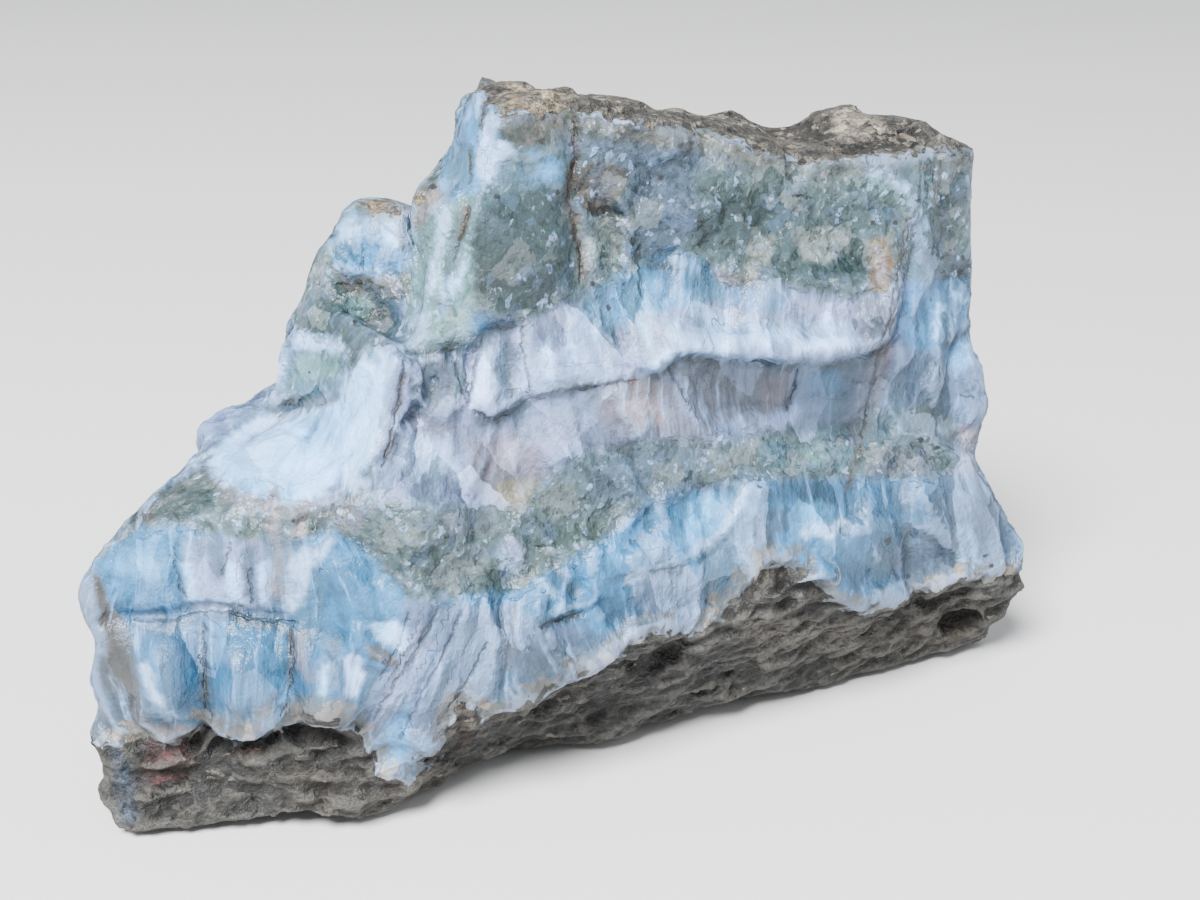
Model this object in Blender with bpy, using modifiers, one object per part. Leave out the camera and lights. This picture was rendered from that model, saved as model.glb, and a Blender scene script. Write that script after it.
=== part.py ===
# A rough larimar specimen: a piece of blue and white fibrous vein with its dark matrix still on it,
# broken off by hand, lying on its widest side.

import math

import bmesh
import bpy
import numpy as np
from mathutils import Vector, noise

# Driving dimensions of the stone, in metres
LENGTH = 0.0863
DEPTH = 0.0402
HEIGHT = 0.0588

# The outlines below are drawn in millimetres on the front: x runs along the stone and z up, and the
# depth y is measured from the main break face into the stone. The stone rests a little below z = 0.
MM = 0.001
GROUND = -2.0
EVEN_WITHIN = 0.12

# How finely the rough form is worked, in metres, and how many flat facets it is left with
GRAIN = 0.0006
FACET_COUNT = 9000
WELD = 0.00001

# The vein's own look
VEIN_BLUE = (0.42, 0.58, 0.72, 1.0)
STONE_ROUGHNESS = 0.55

# Fracture planes that close the stone behind, each a point on the plane and the way it faces
BACK_PLANES = (
    ((0.0, 31.0, 8.0), (0.06, 1.0, 0.22)),
    ((-22.0, 29.0, 22.0), (-0.30, 1.0, 0.34)),
    ((8.0, 21.0, 44.0), (0.05, 1.0, 0.42)),
    ((24.0, 26.0, 26.0), (0.36, 1.0, 0.20)),
    ((44.8, 7.0, 12.0), (1.0, 0.34, 0.14)),
    ((30.0, 22.0, 30.0), (0.80, 1.0, 0.25)),
    ((-38.0, 15.0, 12.0), (-0.82, 0.57, 0.04)),
)
BEHIND_TOWER = ((-10.8, 6.0, 50.0), (-0.80, 0.60, 0.10))
BEHIND_NOSE = ((-34.2, 12.4, 25.8), (-0.57, 0.68, 0.48))

# Where vein gives way to matrix, as points in x and z: below the first line, and above the second
FOOT_LINE = (
    (-40.0, 9.0), (-28.7, 6.5), (-20.0, 8.5), (-15.4, 4.7), (-8.1, 7.3), (2.3, 11.1), (9.2, 9.9),
    (14.2, 13.5), (19.4, 14.2), (22.8, 9.2), (37.5, 8.8), (46.0, 7.8),
)
CAP_LINE = ((-20.0, 48.0), (-9.0, 54.0), (13.0, 50.5), (18.0, 48.6), (40.0, 47.6))

# Swellings of the break face, and cracks and hollows in it: the path in x and z, how wide, how high
VEIN_MARKS = {
    "lower belly": (((-12.0, 12.5), (0.0, 14.5), (10.0, 17.5), (22.0, 16.0), (34.0, 15.0)), 9.0, 1.9),
    "bright chip": (((7.5, 21.5), (10.5, 19.0)), 3.5, -0.6),
    "lower seam, left": (((-7.1, 15.4), (-3.5, 15.7), (2.9, 18.1)), 1.3, -0.7),
    "lower seam, right": (((2.9, 18.1), (7.8, 17.9), (10.2, 20.1), (11.6, 21.6)), 1.3, -0.7),
    "nose seam": (((-38.0, 17.2), (-31.9, 18.0), (-28.0, 17.8), (-25.3, 17.3)), 1.3, -1.0),
    "nose left crack": (((-31.6, 18.4), (-31.4, 13.0), (-31.0, 8.6)), 1.1, -0.8),
    "nose right crack": (((-26.3, 18.0), (-26.0, 13.0), (-25.6, 9.4)), 1.1, -0.7),
    "right crease": (((27.6, 45.5), (29.4, 40.0), (28.7, 35.5), (26.6, 27.6), (25.2, 21.5)), 1.6, -0.8),
    "tower groove": (((-2.6, 54.0), (-2.8, 47.0), (-2.0, 41.5)), 1.2, -0.7),
    "worn patch": (((-0.2, 48.8), (1.2, 43.0)), 3.2, -0.9),
    "left recess": (((-14.6, 36.0), (-15.0, 31.5)), 3.0, -1.2),
    "small shelf": (((-17.6, 16.6), (-16.0, 15.6)), 1.6, -0.8),
    "left tooth": (((-35.0, 12.5), (-33.0, 12.5)), 3.6, 0.8),
    "middle tooth": (((-29.5, 12.0), (-28.5, 11.5)), 3.6, 0.8),
    "right tooth": (((-24.0, 12.5), (-21.5, 13.0)), 3.6, 0.8),
    "foot pit, middle": (((3.5, 8.5), (6.5, 8.8)), 2.6, -1.4),
    "foot pit, under the peak": (((16.0, 12.6), (20.0, 12.2)), 2.6, -1.4),
    "foot pit, right": (((35.0, 6.0), (37.5, 5.5)), 2.6, -1.4),
}


def clear_scene():
    for old in list(bpy.data.objects):
        bpy.data.objects.remove(old, do_unlink=True)


def make_collection(name):
    made = bpy.data.collections.new(name)
    bpy.context.scene.collection.children.link(made)
    return made


def stone_material():
    made = bpy.data.materials.new("larimar_stone")
    made.use_nodes = True
    shader = made.node_tree.nodes["Principled BSDF"]
    shader.inputs["Base Color"].default_value = VEIN_BLUE
    shader.inputs["Roughness"].default_value = STONE_ROUGHNESS
    shader.inputs["Metallic"].default_value = 0.0
    return made


def shaped_mesh(drawn):
    bpy.context.view_layer.update()
    seen = drawn.evaluated_get(bpy.context.evaluated_depsgraph_get())
    made = bpy.data.meshes.new_from_object(seen)
    made.transform(drawn.matrix_world)
    bpy.data.objects.remove(drawn, do_unlink=True)
    return made


# Fracture blocks


def slice_off(mesh, point, outward):
    cut = bmesh.ops.bisect_plane(
        mesh,
        geom=mesh.verts[:] + mesh.edges[:] + mesh.faces[:],
        plane_co=Vector(point) * MM,
        plane_no=Vector(outward).normalized(),
        clear_outer=True,
    )
    rim = [item for item in cut["geom_cut"] if isinstance(item, bmesh.types.BMEdge)]
    if rim:
        bmesh.ops.triangle_fill(mesh, edges=rim, use_beauty=True)


def drawn_plate(outline):
    curve = bpy.data.curves.new("outline", "CURVE")
    curve.dimensions = "2D"
    curve.fill_mode = "BOTH"
    curve.extrude = MM / 2
    line = curve.splines.new("POLY")
    line.points.add(len(outline) - 1)
    for spot, (x, z) in zip(line.points, outline):
        spot.co = (x * MM, z * MM, 0.0, 1.0)
    line.use_cyclic_u = True
    drawn = bpy.data.objects.new("outline", curve)
    bpy.context.scene.collection.objects.link(drawn)
    drawn.rotation_euler = (math.pi / 2, 0.0, 0.0)
    return shaped_mesh(drawn)


# A block of stone runs from its front plane, given as the depth at x = 0 and z = 0 and how fast it
# grows along x and z, to its back depth, where its outline is drawn in towards the centre and lifted
def block(outline, front, back, centre=(0.0, 0.0), taper=1.0, lift=0.0, cuts=BACK_PLANES):
    depth, along_x, along_z = front
    mesh = bmesh.new()
    mesh.from_mesh(drawn_plate(outline))
    bmesh.ops.remove_doubles(mesh, verts=mesh.verts[:], dist=WELD)
    for vert in mesh.verts:
        x, z = vert.co.x / MM, vert.co.z / MM
        if vert.co.y < 0.0:
            vert.co.y = (depth + along_x * x + along_z * z) * MM
        else:
            vert.co.x = (centre[0] + (x - centre[0]) * taper) * MM
            vert.co.y = back * MM
            vert.co.z = (centre[1] + (z - centre[1]) * taper + lift) * MM
    bmesh.ops.recalc_face_normals(mesh, faces=mesh.faces[:])
    for point, outward in cuts:
        slice_off(mesh, point, outward)
    return mesh


# The main mass: the upper vein under its cap, turned a little at its right end
def upper_mass():
    outline = (
        (-15.5, 18.0), (-15.5, 37.0), (-12.8, 38.7), (-12.0, 45.2), (-10.6, 49.6), (-9.0, 55.4), (-7.5, 56.8),
        (-2.2, 56.4), (3.5, 54.6), (7.1, 53.6), (13.2, 52.0), (17.6, 50.6), (24.7, 49.4), (31.0, 49.4),
        (38.2, 48.2), (40.2, 47.0), (40.6, 46.0), (42.8, 41.0), (41.8, 35.0), (41.8, 31.5), (43.4, 27.0),
        (43.2, 24.5), (41.6, 18.0),
    )
    right_turn = ((29.0, 0.0, 30.0), (0.26, -0.96, 0.0))
    right_back = ((40.0, 4.0, 40.0), (0.88, 0.47, 0.10))
    cuts = BACK_PLANES + (BEHIND_TOWER, right_turn, right_back)
    return block(outline, front=(0.0, 0.0, 0.0), back=34.0, centre=(14.0, 20.0), taper=0.94, lift=0.9, cuts=cuts)


def cap_hump():
    outline = ((25.6, 46.0), (27.4, 50.2), (29.8, 51.2), (32.0, 50.8), (34.6, 48.6), (37.0, 46.0))
    return block(outline, front=(4.0, 0.0, 0.0), back=12.0, centre=(32.0, 46.0), taper=0.90)


def tower_flank():
    outline = (
        (-14.5, 34.0), (-14.6, 38.5), (-13.2, 45.0), (-12.4, 49.2), (-10.4, 50.6), (-9.6, 54.0), (-5.0, 54.0),
        (-5.0, 34.0),
    )
    cuts = (BEHIND_TOWER,)
    return block(outline, front=(2.5, 0.0, 0.0), back=14.0, centre=(-5.0, 34.0), taper=0.94, cuts=cuts)


def tower_step():
    outline = ((-13.2, 44.0), (-12.8, 48.4), (-11.4, 50.2), (-8.0, 50.4), (-8.0, 44.0))
    return block(outline, front=(3.6, 0.0, 0.0), back=8.0, cuts=())


# The fibrous band, whose lower lip hangs over the recess
def fibre_band():
    outline = (
        (-12.4, 34.0), (-9.1, 33.3), (-7.6, 34.2), (-1.2, 34.0), (2.5, 34.0), (4.5, 35.0), (5.9, 35.9),
        (11.9, 34.3), (18.9, 32.9), (26.4, 32.6), (29.0, 37.6), (22.8, 39.4), (14.7, 40.4), (8.9, 42.2),
        (3.3, 43.4), (-1.2, 41.7), (-6.9, 39.8), (-11.2, 38.6), (-13.0, 36.6),
    )
    return block(outline, front=(-10.9, -0.045, 0.27), back=10.0, cuts=())


def lilac_face():
    outline = (
        (-15.4, 38.0), (-12.2, 34.6), (7.0, 36.0), (9.0, 31.0), (10.0, 27.0), (16.0, 25.0), (20.0, 22.0),
        (9.0, 19.0), (-16.0, 18.0), (-18.5, 24.0), (-17.2, 31.0),
    )
    return block(outline, front=(-0.9, -0.02, 0.0), back=10.0, cuts=())


def lower_vein():
    outline = (
        (-18.0, 5.0), (-18.0, 18.0), (-8.0, 18.5), (0.0, 21.0), (8.0, 23.8), (19.0, 23.6), (26.0, 22.6),
        (36.0, 21.6), (39.2, 20.5), (41.2, 16.5), (43.2, 13.6), (45.2, 9.4), (45.0, 6.0), (37.5, 7.4),
        (30.6, 6.9), (22.8, 8.2), (20.4, 12.2), (14.2, 12.5), (9.2, 8.9), (2.3, 10.1), (-3.4, 7.9),
        (-8.1, 6.3), (-11.7, 6.4), (-15.4, 4.0),
    )
    return block(outline, front=(-1.2, 0.015, 0.0), back=30.0, centre=(10.0, 6.0), taper=0.96)


# The matrix under the vein, leaning back towards the ground
def matrix_foot():
    outline = (
        (-18.0, -3.5), (-18.0, 9.0), (2.3, 12.5), (9.2, 12.0), (16.0, 14.8), (20.4, 14.6), (23.5, 10.5),
        (44.0, 9.0), (46.0, 5.0), (46.0, -3.5),
    )
    return block(outline, front=(4.0, -0.03, -0.55), back=34.0, centre=(10.0, 0.0), taper=0.98)


# The white rib: the left wall of the main mass stands proud as a narrow wedge
def white_wedge():
    outline = (
        (-17.0, 39.2), (-15.4, 37.4), (-16.4, 34.0), (-17.6, 30.5), (-18.6, 27.5), (-20.2, 26.5), (-20.6, 30.0),
        (-19.2, 35.0), (-18.6, 38.4),
    )
    return block(outline, front=(-1.2, 0.0, 0.0), back=13.0, cuts=())


def shoulder():
    outline = (
        (-8.0, 26.0), (-8.0, 46.6), (-12.8, 47.2), (-14.6, 46.6), (-16.4, 44.9), (-17.4, 42.2), (-19.2, 39.9),
        (-21.2, 35.8), (-23.0, 31.0), (-23.4, 26.0),
    )
    left_end = ((-19.4, 14.5, 39.0), (-0.76, 0.58, 0.34))
    behind = ((-14.0, 17.5, 46.0), (-0.2, 0.9, 0.5))
    cuts = BACK_PLANES + (left_end, behind)
    return block(outline, front=(4.4, -0.48, 0.0), back=34.0, centre=(-6.0, 26.0), taper=0.97, cuts=cuts)


def bright_ledge():
    outline = ((-29.6, 20.0), (-29.2, 27.4), (-26.0, 28.4), (-22.0, 29.4), (-16.0, 29.6), (-16.0, 20.0))
    left_end = ((-27.8, 8.0, 28.0), (-0.80, 0.56, 0.20))
    front = (0.2, -0.20, 0.0)
    return block(outline, front, back=12.6, centre=(-20.0, 26.0), taper=0.97, lift=1.4, cuts=(left_end,))


# The nose: the nearest lobe of vein, turned to the left, over its own foot of matrix
def nose_vein():
    outline = (
        (-39.4, 22.2), (-38.2, 24.4), (-32.8, 26.2), (-27.6, 27.4), (-18.0, 28.0), (-13.0, 26.0), (-13.0, 6.0),
        (-16.0, 4.5), (-17.6, 8.0), (-21.3, 9.3), (-23.6, 9.6), (-25.7, 9.2), (-27.0, 8.8), (-28.7, 7.7),
        (-31.0, 8.6), (-32.6, 9.2), (-34.5, 8.8), (-36.6, 11.2), (-38.8, 15.0), (-39.6, 18.0),
    )
    right_turn = ((-18.6, -1.6, 0.0), (0.14, -0.99, -0.05))
    cuts = BACK_PLANES + (right_turn, BEHIND_NOSE)
    front = (-12.3, -0.575, 0.0)
    return block(outline, front, back=26.0, centre=(-14.0, 10.0), taper=0.97, lift=2.6, cuts=cuts)


def nose_foot():
    outline = (
        (-38.2, -3.5), (-38.4, 5.0), (-39.4, 12.0), (-38.8, 20.0), (-36.0, 22.0), (-12.0, 16.0), (-12.0, -3.5),
    )
    right_turn = ((-20.0, 2.2, -2.0), (0.26, -0.95, -0.22))
    cuts = BACK_PLANES + (right_turn, BEHIND_NOSE)
    return block(outline, front=(-10.4, -0.575, -0.04), back=32.0, centre=(-14.0, 4.0), taper=0.98, cuts=cuts)


def rough_form():
    blocks = (
        upper_mass(),
        cap_hump(),
        tower_flank(),
        tower_step(),
        fibre_band(),
        lilac_face(),
        lower_vein(),
        matrix_foot(),
        white_wedge(),
        shoulder(),
        bright_ledge(),
        nose_vein(),
        nose_foot(),
    )
    joined = bmesh.new()
    for mesh in blocks:
        held = bpy.data.meshes.new("held")
        mesh.to_mesh(held)
        mesh.free()
        joined.from_mesh(held)
    rough = bpy.data.meshes.new("rough")
    joined.to_mesh(rough)
    joined.free()
    return rough


# The overlapping blocks become one closed skin
def grown_together(rough, helpers):
    lump = bpy.data.objects.new("rough_blocks", rough)
    helpers.objects.link(lump)
    fuse = lump.modifiers.new("fuse", "REMESH")
    fuse.mode = "VOXEL"
    fuse.voxel_size = GRAIN
    return shaped_mesh(lump)


# Relief worked into the fused form


def smoothed(low, high, value):
    share = np.clip((value - low) / (high - low), 0.0, 1.0)
    return share * share * (3.0 - 2.0 * share)


# Distance on the front, from each place (x, z) to the drawn path
def reach(places, path):
    nearest = np.full(len(places), np.inf)
    for start, end in zip(path[:-1], path[1:]):
        corner = np.array(start)
        run = np.array(end) - corner
        share = np.clip(((places - corner) @ run) / (run @ run), 0.0, 1.0)
        foot = corner + share[:, None] * run
        nearest = np.minimum(nearest, np.linalg.norm(places - foot, axis=1))
    return nearest


def level_at(x, line):
    along, level = np.array(line).T
    return np.interp(x, along, level)


# The fused form's points in millimetres, and the way each one faces
class Relief:
    def __init__(self, mesh):
        self.mesh = mesh
        self.read()

    def read(self):
        self.mesh.normal_update()
        self.place = np.array([vert.co[:] for vert in self.mesh.verts]) / MM
        self.facing = np.array([vert.normal[:] for vert in self.mesh.verts])

    def write(self):
        for vert, place in zip(self.mesh.verts, self.place * MM):
            vert.co = place
        self.read()

    # A rounded swelling of the front or, with a negative height, a hollow along a path
    def swell(self, path, width, height):
        on_front = smoothed(0.1, 0.6, -self.facing[:, 1]) * smoothed(16.0, 12.0, self.place[:, 1])
        near = smoothed(width, 0.0, reach(self.place[:, (0, 2)], path))
        self.place[:, 1] -= height * near * on_front
        self.write()

    # Uneven relief; grain is how busy it is along x, y and z
    def roughen(self, amount, grain, where, seed):
        shift = Vector((seed * 7.3, seed * 3.1, seed * 5.7))
        spots = self.place * np.array(grain)
        for index in np.nonzero(where > 0.01)[0]:
            height = noise.fractal(Vector(spots[index]) + shift, 0.7, 2.1, 4)
            self.place[index] += self.facing[index] * height * amount * where[index]
        self.write()

    # Flat-faced chips: each cell of the pattern has its own height and tilt
    def chip(self, amount, size, where, seed):
        shift = Vector((seed * 2.9, seed * 6.1, seed * 4.3))
        for index in np.nonzero(where > 0.01)[0]:
            spot = Vector(self.place[index] / size) + shift
            heart = noise.voronoi(spot, distance_metric="DISTANCE", exponent=2.0)[1][0]
            tilt = noise.cell_vector(heart * 3.7) - Vector((0.5, 0.5, 0.5))
            height = (spot - heart).dot(tilt) * 1.6 + (noise.cell(heart * 5.3) - 0.5) * 0.6
            self.place[index] += self.facing[index] * height * amount * where[index]
        self.write()


def matrix_share(relief):
    x, _, z = relief.place.T
    foot = smoothed(0.8, -0.8, z - level_at(x, FOOT_LINE))
    cap = smoothed(-0.6, 0.8, z - level_at(x, CAP_LINE)) * smoothed(0.1, 0.6, relief.facing[:, 2])
    return np.maximum(foot, cap)


def weather(relief):
    matrix = matrix_share(relief)
    vein = 1.0 - matrix
    everywhere = np.ones(len(vein))
    behind = smoothed(0.0, 0.5, relief.facing[:, 1])
    relief.chip(amount=0.9, size=7.0, where=np.maximum(behind, 0.35), seed=3)
    relief.roughen(amount=0.9, grain=(0.09, 0.09, 0.09), where=everywhere, seed=5)
    relief.roughen(amount=0.35, grain=(0.55, 0.30, 0.07), where=vein * (1.0 - behind), seed=8)
    relief.chip(amount=0.55, size=3.2, where=np.maximum(matrix, 0.3 * vein), seed=11)
    relief.roughen(amount=1.0, grain=(0.16, 0.16, 0.62), where=matrix, seed=14)


# The underside is uneven too, so that only part of it comes down to the level the stone rests on
def hollow_underside(relief, least=1.0, swing=2.4):
    below = smoothed(0.3, 0.8, -relief.facing[:, 2]) * smoothed(-0.5, -2.5, relief.place[:, 2])
    for index in np.nonzero(below > 0.01)[0]:
        x, y, _ = relief.place[index]
        rise = least + swing * noise.fractal(Vector((x / 11.0, y / 9.0, 4.2)), 0.8, 2.0, 3)
        relief.place[index, 2] += max(rise, 0.0) * below[index]
    relief.write()


# What would reach below the ground is pressed level with it
def rest_on_ground(mesh):
    for vert in mesh.verts:
        vert.co.z = max(vert.co.z, GROUND * MM)


def ease(mesh, share, rounds=1):
    for _ in range(rounds):
        bmesh.ops.smooth_vert(
            mesh, verts=mesh.verts[:], factor=share, use_axis_x=True, use_axis_y=True, use_axis_z=True
        )


def fused_stone(helpers):
    mesh = bmesh.new()
    mesh.from_mesh(grown_together(rough_form(), helpers))
    ease(mesh, share=0.5, rounds=3)
    relief = Relief(mesh)
    for path, width, height in VEIN_MARKS.values():
        relief.swell(path, width, height)
    weather(relief)
    hollow_underside(relief)
    ease(mesh, share=0.3)
    rest_on_ground(mesh)
    return mesh


# Flat facets take the place of the fine form; where it rests they lie level
def faceted(mesh, helpers):
    fine = bpy.data.meshes.new("fine")
    mesh.to_mesh(fine)
    mesh.free()
    lump = bpy.data.objects.new("fine_form", fine)
    helpers.objects.link(lump)
    facets = lump.modifiers.new("facets", "DECIMATE")
    facets.ratio = FACET_COUNT / (2 * len(fine.polygons))
    made = bmesh.new()
    made.from_mesh(shaped_mesh(lump))
    for vert in made.verts:
        if vert.co.z < (GROUND + EVEN_WITHIN) * MM:
            vert.co.z = GROUND * MM
    bmesh.ops.recalc_face_normals(made, faces=made.faces[:])
    return made


# The stone takes its stated size, with its origin under the middle of its box
def fit_to_size(mesh):
    places = np.array([vert.co[:] for vert in mesh.verts])
    low, high = places.min(axis=0), places.max(axis=0)
    origin = np.array(((low[0] + high[0]) / 2, (low[1] + high[1]) / 2, low[2]))
    size = np.array((LENGTH, DEPTH, HEIGHT))
    for vert, place in zip(mesh.verts, (places - origin) * size / (high - low)):
        vert.co = place


def main():
    clear_scene()
    stone_home = make_collection("larimar")
    helpers = make_collection("helpers")
    mesh = faceted(fused_stone(helpers), helpers)
    fit_to_size(mesh)
    held = bpy.data.meshes.new("larimar")
    mesh.to_mesh(held)
    mesh.free()
    held.materials.append(stone_material())
    stone_home.objects.link(bpy.data.objects.new("larimar", held))


main()
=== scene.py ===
# A rough larimar specimen: fibrous blue and white vein, green-grey zones and dark layered matrix.
import math

import bmesh
import bpy
import numpy as np
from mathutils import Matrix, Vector
from mathutils.bvhtree import BVHTree


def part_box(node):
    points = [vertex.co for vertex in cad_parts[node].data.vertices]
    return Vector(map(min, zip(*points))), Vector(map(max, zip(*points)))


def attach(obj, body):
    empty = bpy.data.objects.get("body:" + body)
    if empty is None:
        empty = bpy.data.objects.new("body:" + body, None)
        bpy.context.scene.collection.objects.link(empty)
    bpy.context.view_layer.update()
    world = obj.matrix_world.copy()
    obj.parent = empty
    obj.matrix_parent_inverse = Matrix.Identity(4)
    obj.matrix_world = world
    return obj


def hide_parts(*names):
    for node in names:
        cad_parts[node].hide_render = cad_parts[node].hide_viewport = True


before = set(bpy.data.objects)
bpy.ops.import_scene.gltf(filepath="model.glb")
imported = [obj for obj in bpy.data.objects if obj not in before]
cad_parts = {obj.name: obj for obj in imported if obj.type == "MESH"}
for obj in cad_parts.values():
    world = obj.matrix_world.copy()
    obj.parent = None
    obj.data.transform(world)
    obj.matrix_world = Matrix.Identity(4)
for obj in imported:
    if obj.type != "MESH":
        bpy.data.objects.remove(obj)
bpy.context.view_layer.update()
stoneLow, stoneHigh = (np.array(corner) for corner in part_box("larimar"))
mm = 0.001

# The photograph's view: where the camera stands, and what it aims at, from the stone's low corner
photoView = {
    "turn": -30.0,  # degrees round the stone
    "rise": 20.0,  # degrees above the level
    "distance": 0.162,
    "aim": (0.03961, 0.00525, 0.0300),
    "width": 1200.0,  # the photograph's size in pixels
    "height": 900.0,
    "focal": 2025.0,  # in the same pixels
}
pixelsToMm = photoView["focal"] * mm / photoView["distance"]  # at the stone, about


def viewAxes():
    turn, rise = math.radians(photoView["turn"]), math.radians(photoView["rise"])
    back = np.array((math.sin(turn) * math.cos(rise), -math.cos(turn) * math.cos(rise), math.sin(rise)))
    right = np.array((math.cos(turn), math.sin(turn), 0.0))
    up = np.cross(back, right)
    eye = stoneLow + np.array(photoView["aim"]) + photoView["distance"] * back
    return eye, right, up, back


# How far a value has come from low to high, from 0 to 1, eased at both ends
def smoothStep(low, high, value):
    share = np.clip((value - low) / (high - low), 0.0, 1.0)
    return share * share * (3.0 - 2.0 * share)


# Large odd numbers that stir a cell's place and a seed until they look random
stirring = {"place": (73856093, 19349663, 83492791), "seed": 668265263, "first": 739982445, "second": 695872825}
largest = 0x7FFFFFFF

# What starts each pattern, so that no two are alike
seeds = {
    "layers": 40, "grounds": 50, "fibres": 60, "blocks": 61, "green blocks": 62, "drawing": 65, "splinters": 70,
    "green chips": 80, "green grain": 83, "slab bends": 90, "sheets": 91, "slabs": 92, "slab grain": 95,
    "pits": 97, "mottle": 100, "rock patches": 110, "rock warmth": 114, "washes": 120, "second mottle": 130,
    "cloud": 140,
}


# Three numbers from 0 to 1 for each cell, the same each time
def scattered(cells, seed):
    x, y, z = (along * factor for along, factor in zip(cells.astype(np.int64).T, stirring["place"]))
    stirred = x ^ y ^ z ^ (seed * stirring["seed"])
    drawn = []
    for _ in range(3):
        stirred = ((stirred ^ (stirred >> 15)) * stirring["first"]) & largest
        stirred = ((stirred ^ (stirred >> 12)) * stirring["second"]) & largest
        drawn.append((stirred ^ (stirred >> 15)) / largest)
    return np.stack(drawn, axis=1)


# Smooth noise from about -1 to 1
def softNoise(places, seed):
    cell = np.floor(places)
    part = places - cell
    ease = part**3 * (part * (part * 6.0 - 15.0) + 10.0)
    total = np.zeros(len(places))
    for corner in np.ndindex(2, 2, 2):
        pull = scattered(cell + corner, seed) * 2.0 - 1.0
        weight = np.prod(np.where(corner, ease, 1.0 - ease), axis=1)
        total += weight * np.sum(pull * (part - corner), axis=1)
    return total * 1.5


# The same noise in layers, each finer and weaker than the one before
def cloudy(places, seed, rounds=4, keep=0.55):
    total = np.zeros(len(places))
    for layer in range(rounds):
        total += softNoise(places * 2.07**layer, seed + layer) * keep**layer
    return total


# Cells of a cracked pattern: the height of each cell's own tilted flat face, how far the place is from
# the cell's edge, and three numbers that belong to the cell
def cellFaces(places, seed):
    cell = np.floor(places)
    nearest = np.full(len(places), np.inf)
    second = np.full(len(places), np.inf)
    offset = np.zeros_like(places)
    home = np.zeros_like(places)
    for step in np.ndindex(3, 3, 3):
        there = cell + step - 1.0
        gap = places - there - scattered(there, seed)
        away = np.sqrt(np.sum(gap * gap, axis=1))
        closer = away < nearest
        second = np.where(closer, nearest, np.minimum(second, away))
        nearest = np.where(closer, away, nearest)
        offset[closer] = gap[closer]
        home[closer] = there[closer]
    own = scattered(home, seed + 17)
    tilt = scattered(home, seed + 31) - 0.5
    height = np.sum(offset * tilt, axis=1) * 1.5 + (own[:, 0] - 0.5) * 0.7
    return height, second - nearest, own


# Hollow scoops that meet in sharp ridges, as a splintery break leaves them
def scoops(places, seed, uneven=0.5):
    cell = np.floor(places)
    lowest = np.full(len(places), np.inf)
    for step in np.ndindex(3, 3, 3):
        there = cell + step - 1.0
        drawn = scattered(there, seed)
        gap = places - there - drawn
        lean = scattered(there, seed + 13) - 0.5
        bowl = np.sum(gap * gap, axis=1) + np.sum(gap * lean, axis=1) * uneven * 2.0
        lowest = np.minimum(lowest, bowl + drawn[:, 0] * uneven)
    return lowest - 0.55


def centred(height):
    return height - height.mean()


# The stone's fine skin, as arrays in millimetres
class Skin:
    def __init__(self, mesh):
        self.mesh = mesh
        self.count = len(mesh.vertices)
        ends = np.empty(len(mesh.edges) * 2, dtype=np.int64)
        mesh.edges.foreach_get("vertices", ends)
        self.ends = ends.reshape(-1, 2)
        self.links = np.bincount(self.ends.ravel(), minlength=self.count)
        flat = np.empty(self.count * 3)
        mesh.vertices.foreach_get("co", flat)
        self.spots = flat.reshape(-1, 3) / mm
        self.turn()

    # The points go back into the mesh, and its normals are read anew
    def turn(self):
        self.mesh.vertices.foreach_set("co", (self.spots * mm).ravel())
        self.mesh.update()
        flat = np.empty(self.count * 3)
        self.mesh.vertex_normals.foreach_get("vector", flat)
        self.facing = flat.reshape(-1, 3).copy()

    # The mean of each point's neighbours, for a value or for each of three
    def around(self, value):
        start, end = self.ends.T
        columns = value.reshape(self.count, -1).T
        total = [
            np.bincount(start, column[end], self.count) + np.bincount(end, column[start], self.count)
            for column in columns
        ]
        return (np.array(total) / self.links).T.reshape(value.shape)

    def eased(self, value, rounds):
        for _ in range(rounds):
            value = 0.5 * value + 0.5 * self.around(value)
        return value

    # Points that stand apart from their neighbours are drawn back
    def withoutSpikes(self, limit=0.13):
        for _ in range(6):
            middle = self.around(self.spots)
            apart = np.linalg.norm(self.spots - middle, axis=1)
            self.spots = np.where(apart[:, None] > limit, middle, self.spots)
        self.turn()

    # Raised along an evened-out direction, so that ridges don't flare
    def raised(self, height):
        way = self.eased(self.facing, 4)
        self.spots = self.spots + way / np.linalg.norm(way, axis=1)[:, None] * height[:, None]
        self.turn()


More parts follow.
